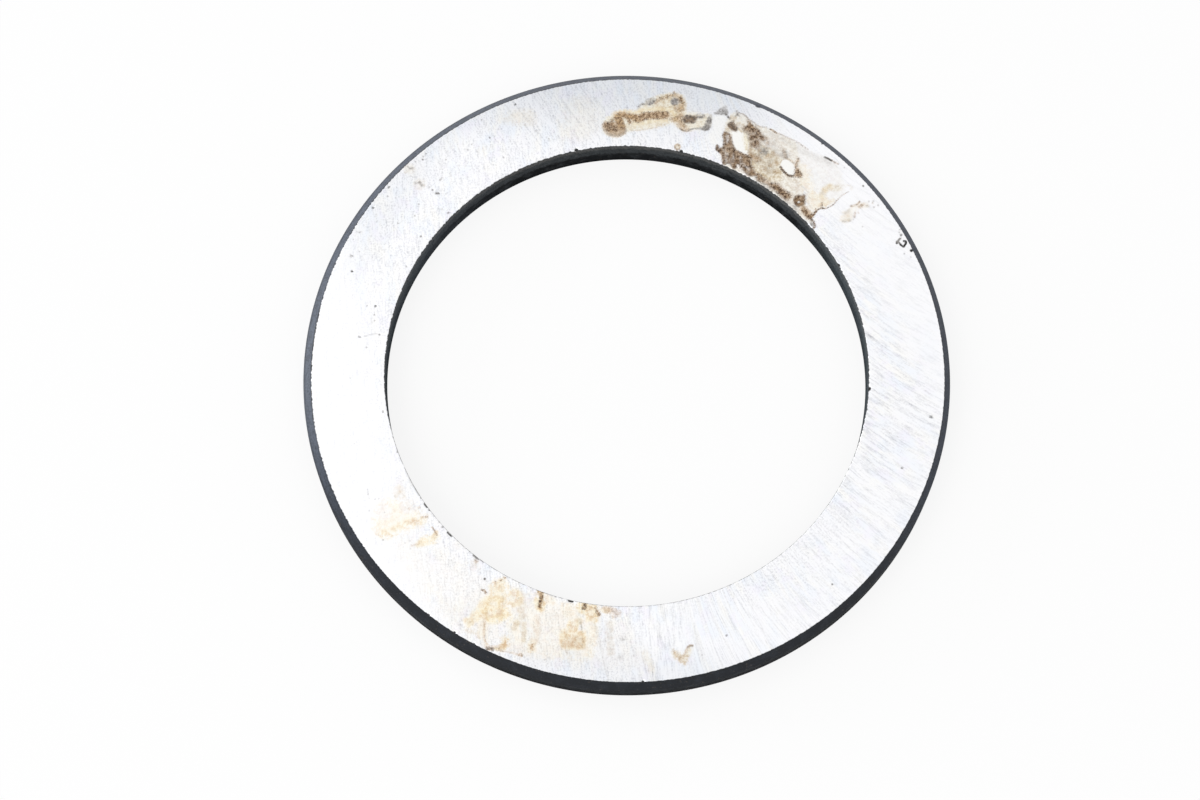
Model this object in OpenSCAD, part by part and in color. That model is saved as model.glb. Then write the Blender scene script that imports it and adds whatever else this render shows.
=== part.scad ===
// Differential shim: a plain steel ring, turned from bar, hardened and ground flat on both faces.
// The ring lies on its lower face. The origin is the centre of that face, and +Z is the bore axis.

/* [Ring] */
// Outer diameter, across the rim that sits in the housing seat
outer_d = 90; // [80:0.5:140]
// Diameter of the bore that clears the shaft
bore_d = 67.2; // [40:0.1:80]
// Thickness between the two ground faces, which sets the bearing preload
thickness = 5; // [2.5:0.05:12]

/* [Edges] */
// Width of both rim chamfers, measured across the face
chamfer_w = 1; // [0.3:0.05:3]
// Height of both rim chamfers, measured down the rim
chamfer_h = 1; // [0.3:0.05:2.2]
// How far the upper chamfer runs off the bore axis, towards +X
chamfer_runout = 0.14; // [0:0.01:0.28]
// Width and height of the small edge break at both ends of the bore
bore_break = 0.05; // [0.02:0.01:1]

/* [Hidden] */
$fn = 240;
outer_r = outer_d / 2;
bore_r = bore_d / 2;
chamfer_slope = chamfer_h / chamfer_w;
// How far the chamfer cut reaches past the face and past the rim
overcut = 1 + chamfer_runout;

// Half section of the turned blank, with the radius along x and the height along y.
// Its upper rim corner is left square, because that chamfer is cut on its own centre.
module blank_section() {
    polygon([
        [bore_r, bore_break],
        [bore_r + bore_break, 0],
        [outer_r - chamfer_w, 0],
        [outer_r, chamfer_h],
        [outer_r, thickness],
        [bore_r + bore_break, thickness],
        [bore_r, thickness - bore_break]
    ]);
}

// Half section of what the upper chamfer takes off: one slope, carried on past the face and the rim
module chamfer_cut_section() {
    polygon([
        [outer_r - chamfer_w - overcut, thickness + overcut * chamfer_slope],
        [outer_r + overcut, thickness - chamfer_h - overcut * chamfer_slope],
        [outer_r + overcut, thickness + overcut * chamfer_slope]
    ]);
}

// The shim, one solid
module shim_ring() {
    color([0.76, 0.77, 0.78])
    difference() {
        rotate_extrude() blank_section();
        translate([chamfer_runout, 0, 0])
            rotate_extrude() chamfer_cut_section();
    }
}

shim_ring();
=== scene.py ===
"""Differential shim: one hardened steel ring, ground bright on both faces, black on its rim and in its bore.

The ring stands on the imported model's frame, in metres: it lies on its lower face, the origin is the centre
of that face, and +Z is the bore axis. The upper face carries the old oil stains, rust and pits of a used
part, each set down in millimetres on the face, with x to the right and y away from the camera.
"""

import logging
import math
from collections.abc import Iterable
from dataclasses import dataclass, field
from enum import Enum
from typing import NamedTuple

import bpy
import numpy as np
from mathutils import Matrix, Vector


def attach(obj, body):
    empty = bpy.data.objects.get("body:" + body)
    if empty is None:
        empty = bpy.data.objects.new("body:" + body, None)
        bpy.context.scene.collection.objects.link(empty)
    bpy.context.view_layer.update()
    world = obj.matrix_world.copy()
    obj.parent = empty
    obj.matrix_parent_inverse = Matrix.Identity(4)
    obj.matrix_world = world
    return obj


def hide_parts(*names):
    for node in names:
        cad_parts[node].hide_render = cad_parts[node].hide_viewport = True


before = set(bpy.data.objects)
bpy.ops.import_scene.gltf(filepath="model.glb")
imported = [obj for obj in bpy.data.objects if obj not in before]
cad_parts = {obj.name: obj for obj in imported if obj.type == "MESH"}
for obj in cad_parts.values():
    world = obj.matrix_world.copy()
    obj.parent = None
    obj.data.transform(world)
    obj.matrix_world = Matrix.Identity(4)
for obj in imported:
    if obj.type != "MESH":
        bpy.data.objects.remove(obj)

log = logging.getLogger("shim")

Array = np.ndarray
Colour = tuple[float, float, float, float]
Socket = bpy.types.NodeSocket
Feed = Socket | float | tuple[float, ...]
Feeds = dict[int | str, Feed]
Setting = tuple[float, ...]
MM = 0.001
BUMP_UNIT = 0.1
TINY = 1e-9

# Soft noise keeps to the middle of its range, so spread over this width it swings by about 1
NOISE_WIDTH = 4.0


def srgb(red: float, green: float, blue: float) -> Colour:
    """A screen colour, 0 to 255, as the linear colour that a shader takes.

    Args:
        red, green, blue: the colour as a screen shows it.

    Returns:
        Linear red, green and blue, and an alpha of 1. Each channel c of 0 to 1 becomes c / 12.92 up to
        0.04045, and above it ((c + 0.055) / 1.055) to the power 2.4.
    """
    share = (value / 255 for value in (red, green, blue))
    linear = [c / 12.92 if c <= 0.04045 else ((c + 0.055) / 1.055) ** 2.4 for c in share]
    return linear[0], linear[1], linear[2], 1.0


class Residue(Enum):
    """What a mark on the upper face is made of. The value is the mesh attribute that carries it."""

    WASH = "wash"
    GREY = "grey_film"
    RUST = "rust"
    CRUST = "crust"
    PIT = "pit"
    BARE = "rubbed_bare"


class Form(Enum):
    """How the points of a mark are read: apart, as an open line, or as a closed outline."""

    DOTS = "dots"
    STREAK = "streak"
    PATCH = "patch"


@dataclass(frozen=True)
class Mark:
    """One mark of dirt or wear on the upper face, in millimetres.

    Points holds x and y in turn. Width is across a streak or a dot. Depth is how much of the steel it
    hides, shade runs from its palest to its darkest colour, and soft is half the width of its border.
    """

    residue: Residue
    form: Form
    points: tuple[float, ...]
    width: float = 0.0
    depth: float = 0.8
    shade: float = 0.5
    soft: float = 0.1

    def path(self) -> Array:
        """Its line or outline.

        Returns:
            Its points as rows of x and y, and for a streak or patch of three or more a smooth curve.
        """
        corners = np.array(self.points, float).reshape(-1, 2)
        if self.form is Form.DOTS or len(corners) < 3:
            return corners
        return smooth_curve(corners, closed=self.form is Form.PATCH)

    def inside(self, x: Array, y: Array) -> Array:
        """How far each place lies inside the mark.

        Args:
            x, y: places on the face in millimetres, as flat arrays.

        Returns:
            Millimetres inside its border, below zero outside: half the width less the distance to the
            nearest point or line, or for a patch the distance to its outline with the sign of the side.
        """
        path = self.path()
        if self.form is Form.DOTS:
            gaps = np.hypot(x[:, None] - path[:, 0], y[:, None] - path[:, 1])
            return self.width / 2 - gaps.min(axis=1)
        if self.form is Form.STREAK:
            return self.width / 2 - distance_to_lines(x, y, path[:-1], path[1:])
        ends = np.roll(path, -1, axis=0)
        distance = distance_to_lines(x, y, path, ends)
        return np.where(within_outline(x, y, path, ends), distance, -distance)


def smooth_curve(corners: Array, closed: bool, parts: int = 4) -> Array:
    """A Catmull-Rom curve through given corners.

    Args:
        corners: rows of x and y.
        closed: whether the last corner joins the first.
        parts: pieces between two corners.

    Returns:
        Rows of x and y. Between corners b and c, with a before and d after, the place at share t is
        half of 2b + (c - a)t + (2a - 5b + 4c - d)t^2 + (3b - a - 3c + d)t^3.
    """
    if closed:
        a, b, c, d = (np.roll(corners, -shift, axis=0) for shift in (-1, 0, 1, 2))
    else:
        long = np.vstack([2 * corners[0] - corners[1], corners, 2 * corners[-1] - corners[-2]])
        a, b, c, d = long[:-3], long[1:-2], long[2:-1], long[3:]
    t = (np.arange(parts) / parts)[None, :, None]
    a, b, c, d = (row[:, None, :] for row in (a, b, c, d))
    curve = 0.5 * (2 * b + (c - a) * t + (2 * a - 5 * b + 4 * c - d) * t**2 + (3 * b - a - 3 * c + d) * t**3)
    curve = curve.reshape(-1, 2)
    return curve if closed else np.vstack([curve, corners[-1:]])


def distance_to_lines(x: Array, y: Array, starts: Array, ends: Array) -> Array:
    """The distance from each place to the nearest of some straight lines.

    Args:
        x, y: places, as flat arrays.
        starts, ends: the lines' ends, as rows of x and y.

    Returns:
        Millimetres for each place: it is dropped square onto each line, the foot is kept between the
        line's ends, and the least of the distances to the feet is taken.
    """
    along = ends - starts
    length = np.maximum((along**2).sum(axis=1), TINY)
    dx, dy = x[:, None] - starts[:, 0], y[:, None] - starts[:, 1]
    share = np.clip((dx * along[:, 0] + dy * along[:, 1]) / length, 0, 1)
    return np.hypot(dx - share * along[:, 0], dy - share * along[:, 1]).min(axis=1)


def within_outline(x: Array, y: Array, starts: Array, ends: Array) -> Array:
    """Which places a closed outline holds.

    Args:
        x, y: places, as flat arrays.
        starts, ends: the outline's sides, as rows of x and y.

    Returns:
        True where a line from the place towards +x crosses the outline an odd number of times.
    """
    low, high = starts[:, 1] > y[:, None], ends[:, 1] > y[:, None]
    rise = ends[:, 1] - starts[:, 1]
    rise = np.where(np.abs(rise) < TINY, TINY, rise)
    crossing = starts[:, 0] + (y[:, None] - starts[:, 1]) * (ends[:, 0] - starts[:, 0]) / rise
    return ((low != high) & (x[:, None] < crossing)).sum(axis=1) % 2 == 1


def smooth_step(low: float, high: float, value: Array) -> Array:
    """0 up to low, 1 from high, and 3t^2 - 2t^3 at share t of the way between them."""
    t = np.clip((value - low) / (high - low), 0, 1)
    return t * t * (3 - 2 * t)


def dots(
    residue: Residue, width: float, depth: float, shade: float, *points: float, soft: float = 0.1
) -> Mark:
    """Round spots of one size, at x and y in turn."""
    return Mark(residue, Form.DOTS, points, width, depth, shade, soft)


def streak(
    residue: Residue, width: float, depth: float, shade: float, *points: float, soft: float = 0.1
) -> Mark:
    """A line of one width through points, at x and y in turn."""
    return Mark(residue, Form.STREAK, points, width, depth, shade, soft)


def patch(residue: Residue, depth: float, shade: float, *points: float, soft: float = 0.25) -> Mark:
    """A closed outline, at x and y in turn."""
    return Mark(residue, Form.PATCH, points, 0.0, depth, shade, soft)


# The residues by short names, for the marks below
WASH, GREY, RUST, CRUST, PIT, BARE = Residue

# The long worm-shaped stain at the back of the face, with its pale halo and the arc above it
TRAIL = (
    patch(BARE, 0.6, 0, 11.3, 38.3, 12, 38.8, 12.9, 38.7, 13.4, 38.1, 13.1, 37.2, 12.7, 36.2, 12.6, 35.2,
        12.2, 34.2, 11.2, 34.2, 10.6, 35.4, 11.3, 36.4, 11.3, 37.4, soft=0.3),
    patch(WASH, 0.62, 0.1, -4.5, 36.6, -4.1, 37.6, -3, 38.5, -1.5, 39, 0.2, 39.1, 0.9, 39.8, 2.2, 40.9,
        3.6, 41.6, 5.2, 42, 6.6, 41.9, 7.3, 41.2, 7.5, 40.2, 7.6, 39.2, 9, 39, 10.2, 38.9, 11.1, 38.6,
        11, 37.2, 10.3, 36.5, 9.2, 36.5, 8, 36.1, 7.2, 36.1, 6.3, 36.8, 5.6, 37.3, 4.4, 36.8, 2.8, 36.4,
        1.2, 36.1, -0.1, 35.9, -1, 35.6, -1.8, 35, -3.2, 35, -4.2, 35.6, soft=0.3),
    streak(RUST, 0.6, 0.4, 0.15, -2.7, 38.6, -1.2, 38.95, 0.2, 38.8, 1.6, 39.2, 3.4, 39.4, 5, 39.3,
        5.8, 38.8, 6, 38, soft=0.25),
    streak(RUST, 0.5, 0.35, 0.1, 0.2, 37, 1.4, 37.3, 3, 37.6, 4.6, 37.7, soft=0.3),
    patch(GREY, 0.5, 0.2, -4.2, 36.4, -4, 35.7, -3.2, 35.15, -2.3, 35, -1.4, 35.3, -0.9, 35.9, -1.3, 36.6,
        -2, 37.2, -3.2, 37.3, -4.1, 37, soft=0.2),
    patch(CRUST, 0.5, 0.12, -4.2, 36.4, -4, 35.8, -3.2, 35.25, -2.3, 35.1, -1.4, 35.4, -1, 36, -1.3, 36.6,
        -2, 37.2, -3.2, 37.3, -4.1, 37, soft=0.22),
    patch(CRUST, 0.78, 0.42, -4.4, 36.8, -4, 37.25, -3.4, 37.15, -3.15, 37.7, -2.85, 37.6, -2.9, 37,
        -2.8, 36.5, -2.3, 36.4, -2.5, 36, -3, 36, -3.6, 35.8, -4.1, 35.9, -4.4, 36.3, soft=0.18),
    streak(RUST, 0.95, 0.6, 0.95, -2.3, 38, -1.9, 37.4, -1.6, 36.7, soft=0.2),
    streak(RUST, 0.8, 0.55, 0.95, -2.4, 38.1, -1.4, 38.3, -0.4, 38.15, 0.2, 38.1, soft=0.2),
    streak(CRUST, 0.12, 0.3, 0.3, -0.3, 36, 1.2, 36.15, 2.8, 36.5, 4, 36.85, 5, 37.3, soft=0.08),
    dots(CRUST, 0.4, 0.78, 0.65, -3.6, 36.9, -3.3, 36.35, -2.6, 36.2, -3.8, 35.95, -3.05, 37.5, -4, 36.6,
        soft=0.2),
    streak(CRUST, 0.24, 0.5, 0.3, -4.25, 36.3, -3.9, 35.6, -3.2, 35.15, -2.3, 35, -1.4, 35.35, -1.05, 35.9,
        soft=0.15),
    streak(CRUST, 0.74, 0.8, 0.46, -2.45, 37.9, -2, 38.25, -1.2, 38.3, -0.4, 38.2, 0.3, 38.1, soft=0.2),
    streak(CRUST, 0.5, 0.7, 0.36, -0.2, 38.1, -0.05, 37.6, soft=0.2),
    streak(CRUST, 0.8, 0.78, 0.46, -2.05, 38.1, -1.8, 37.3, -1.55, 36.6, soft=0.2),
    dots(CRUST, 0.4, 0.72, 0.5, -1.5, 36.45, -1.75, 37, -2.2, 38, soft=0.2),
    streak(CRUST, 0.5, 0.76, 0.44, -0.85, 38, -0.65, 37.5, -0.5, 37.2, soft=0.2),
    streak(CRUST, 1.2, 0.74, 0.34, 0.6, 37.8, 1, 37.95, 1.6, 38.3, 2.6, 38.4, 3.4, 38.45, 4.2, 38.5,
        4.6, 38.55, soft=0.2),
    dots(CRUST, 0.36, 0.8, 0.5, 0.4, 37.4, 0.8, 38, 1.3, 38.7, 1.6, 37.8, 2.1, 38.3, 2.7, 38.1, 3, 38.7,
        3.5, 39, 3.4, 38.1, 4.1, 38.8, 4.4, 38.3, 4.9, 38.7, 0.2, 38.2, 2.3, 38.8, soft=0.2),
    patch(WASH, 0.75, 0.3, 3.4, 39.2, 3.3, 40.3, 4.2, 41.2, 5.4, 41.7, 6.6, 41.6, 7.3, 40.9, 7.3, 39.8,
        7.1, 38.8, 5.4, 38.6, 5.2, 39.3, soft=0.35),
    streak(GREY, 0.3, 0.8, 0.6, 0.7, 39.6, 1, 40.05, 1.7, 40.15, soft=0.12),
    patch(GREY, 0.82, 0.44, 1.7, 40.2, 1.8, 40.7, 2.4, 41, 3.1, 40.9, 3.2, 40.4, 2.7, 40.1, 2.1, 40,
        soft=0.2),
    streak(GREY, 0.2, 0.5, 0.6, 1.7, 40.7, 2.3, 41, 3, 40.95, 3.3, 40.6, soft=0.12),
    streak(CRUST, 0.4, 0.5, 0.2, 3.2, 40.4, 3.6, 40.8, 4.4, 41.2, 5, 41.5, 5.8, 41.6, 6.5, 41.5, soft=0.3),
    dots(CRUST, 0.3, 0.8, 0.55, 3.75, 41.2, 4.7, 41.35, 5.4, 41.6, 3.35, 40.9, 6.3, 41.5, 5.7, 42.1,
        soft=0.16),
    patch(CRUST, 0.55, 0.1, 5.8, 39.5, 6.5, 39, 7.2, 39.4, 7.3, 40.4, 7, 41.2, 6.5, 41.7, 6.2, 41.3,
        6.6, 40.6, 6.5, 39.9, 6, 39.9, soft=0.3),
    patch(GREY, 1, 0.4, 5.3, 40.4, 5.4, 41, 5.9, 41.25, 6.4, 41.1, 6.5, 40.6, 6.2, 40.2, 5.7, 40.1,
        soft=0.2),
    dots(CRUST, 0.4, 0.82, 0.7, 6.55, 41.1, 6.8, 40.75, soft=0.2),
    dots(CRUST, 0.34, 0.6, 0.35, 6.2, 39.4, 6.9, 39.6, 6.6, 39.2, 7.2, 40.2, 5.9, 40, soft=0.2),
    patch(CRUST, 0.45, 0.06, 5.2, 38.5, 5.9, 38.3, 6.5, 38.9, 7.2, 38.7, 7.3, 37.6, 7.8, 36.5, 7.2, 36.25,
        6.5, 36.8, 6.2, 37.3, 5.4, 37.7, soft=0.3),
    dots(CRUST, 0.3, 0.7, 0.42, 5.35, 37.9, 5.9, 37.85, 6.4, 38.35, 6.8, 37.7, 6.6, 37.1, 7, 38.4,
        6.1, 38.1, 7.3, 36.9, soft=0.16),
    patch(GREY, 0.9, 0.75, 7.1, 38.3, 7.6, 38.6, 8.3, 38.55, 9.1, 38.45, 9, 37.9, 8.7, 37.45, 8, 37.4,
        7.4, 37.4, 7.1, 37.8, soft=0.2),
    patch(CRUST, 0.5, 0.5, 7.1, 38.3, 7.6, 38.55, 8.3, 38.5, 9, 38.4, 9, 37.9, 8.7, 37.5, 8, 37.4,
        7.4, 37.4, 7.1, 37.8, soft=0.22),
    dots(PIT, 0.3, 0.75, 0.5, 7.35, 37.8, 7.8, 38.1, 8.3, 37.7, 8.6, 38.3, 7.6, 38.45, 8.75, 38, 8.15, 38.4,
        soft=0.18),
    patch(GREY, 0.7, 0.5, 8.9, 38.6, 9.4, 38.8, 10.2, 38.7, 9.9, 38.2, 9, 38.1),
    streak(CRUST, 0.4, 0.45, 0.15, 6.3, 37.1, 6.8, 36.6, 7.3, 36.35, 7.9, 36.4, soft=0.2),
    streak(GREY, 0.18, 0.8, 0.7, 6.7, 36.5, 7.1, 36.25, 7.7, 36.15, 8.2, 36.45, 9, 36.6),
    patch(GREY, 0.6, 0.5, 9, 36.7, 9.6, 36.75, 10.1, 37, 10.35, 37.6, 10.6, 38.3, 11, 38.8, 11.25, 38.3,
        11.1, 37.4, 11.05, 36.9, 10.6, 36.4, 10.2, 36.3, 9.6, 36.5, 9, 36.55, soft=0.15),
    streak(PIT, 0.18, 0.6, 0.5, 9.3, 36.55, 9.8, 36.5, 10.3, 36.35, 10.8, 36.5),
    patch(GREY, 0.85, 0.55, 9.8, 36.6, 10.3, 37.2, 10.5, 37.9, 10.8, 38.2, 11.1, 37.6, 11.05, 36.9,
        10.6, 36.4, 10.1, 36.35, soft=0.2),
    dots(PIT, 0.34, 0.4, 0.3, 10.3, 36.6, 10.7, 37, 10.9, 37.6, 10.4, 37.2, 10.8, 38.2, 9.6, 36.65,
        soft=0.2),
    streak(CRUST, 0.22, 0.5, 0.4, 6.4, 34.1, 6.75, 33.8, 6.65, 33.4, 6.35, 33.2, 6.05, 33.5, 6.1, 33.9,
        6.4, 34.1),
    dots(WASH, 0.9, 0.6, 0.45, 6.4, 33.7),
    dots(CRUST, 0.3, 0.7, 0.6, 6.4, 33.2),
    patch(GREY, 0.5, 0.2, 11.7, 39, 12.1, 39.6, 12.5, 39.9, 13.15, 40.3, 13.4, 39.7, 13.5, 39, 12.8, 38.8,
        soft=0.15),
    streak(GREY, 0.3, 0.7, 0.75, 11.6, 39.05, 12.1, 39.1, 12.6, 38.98, 13.1, 38.95, 13.4, 38.7,
        13.75, 38.3),
    streak(GREY, 0.2, 0.62, 0.6, 12.35, 39.1, 12.4, 39.7),
    streak(GREY, 0.26, 0.66, 0.65, 12.8, 39, 12.85, 39.8),
    streak(GREY, 0.16, 0.6, 0.5, 13.12, 39.1, 13.2, 40.2),
    streak(GREY, 0.24, 0.7, 0.7, 13.34, 39, 13.34, 39.5),
)

# The outlines of the two dark masses in the wide spill, and of the film that links them
LOW_MASS = (
    12.9, 36, 13.3, 36.15, 13.8, 35.7, 14.1, 34.8, 14.5, 33.9, 14.9, 33.25, 15.6, 32.9, 16.3, 32.6,
    16.85, 32.5, 16.95, 31.4, 17.3, 30.4, 17.5, 29.8, 16.7, 29.5, 16, 30.1, 15.5, 30.9, 15.1, 31.3,
    14.85, 31.2, 14.75, 30.6, 14.3, 30.6, 14, 31.2, 13.5, 31.3, 13.1, 31.1, 12.95, 31.8, 12.8, 32.6,
    12.4, 33.1, 12.1, 33.2, 12.5, 33.7, 12.9, 33.9, 13.1, 34.6, 12.9, 35.3,
)
HIGH_MASS = (
    15.6, 36.8, 16.2, 37.3, 16.5, 37.7, 17.2, 37.3, 17.9, 36.8, 18.3, 36.2, 18.9, 35.4, 18.7, 35,
    18.2, 34.9, 18.2, 34.3, 17.8, 33.8, 17.2, 33.8, 16.9, 34.3, 16.9, 34.9, 16.5, 35.1, 16.4, 35.7,
    16.3, 36, 15.8, 36.3,
)
MASS_LINK = (
    16.4, 35.8, 16.9, 35.7, 17.2, 34.6, 16.95, 33.6, 17.4, 32.8, 18.2, 32.6, 17.8, 31.6, 17, 32, 16.5, 32.6,
    16.5, 33.6, 16.65, 34.6,
)

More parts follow.
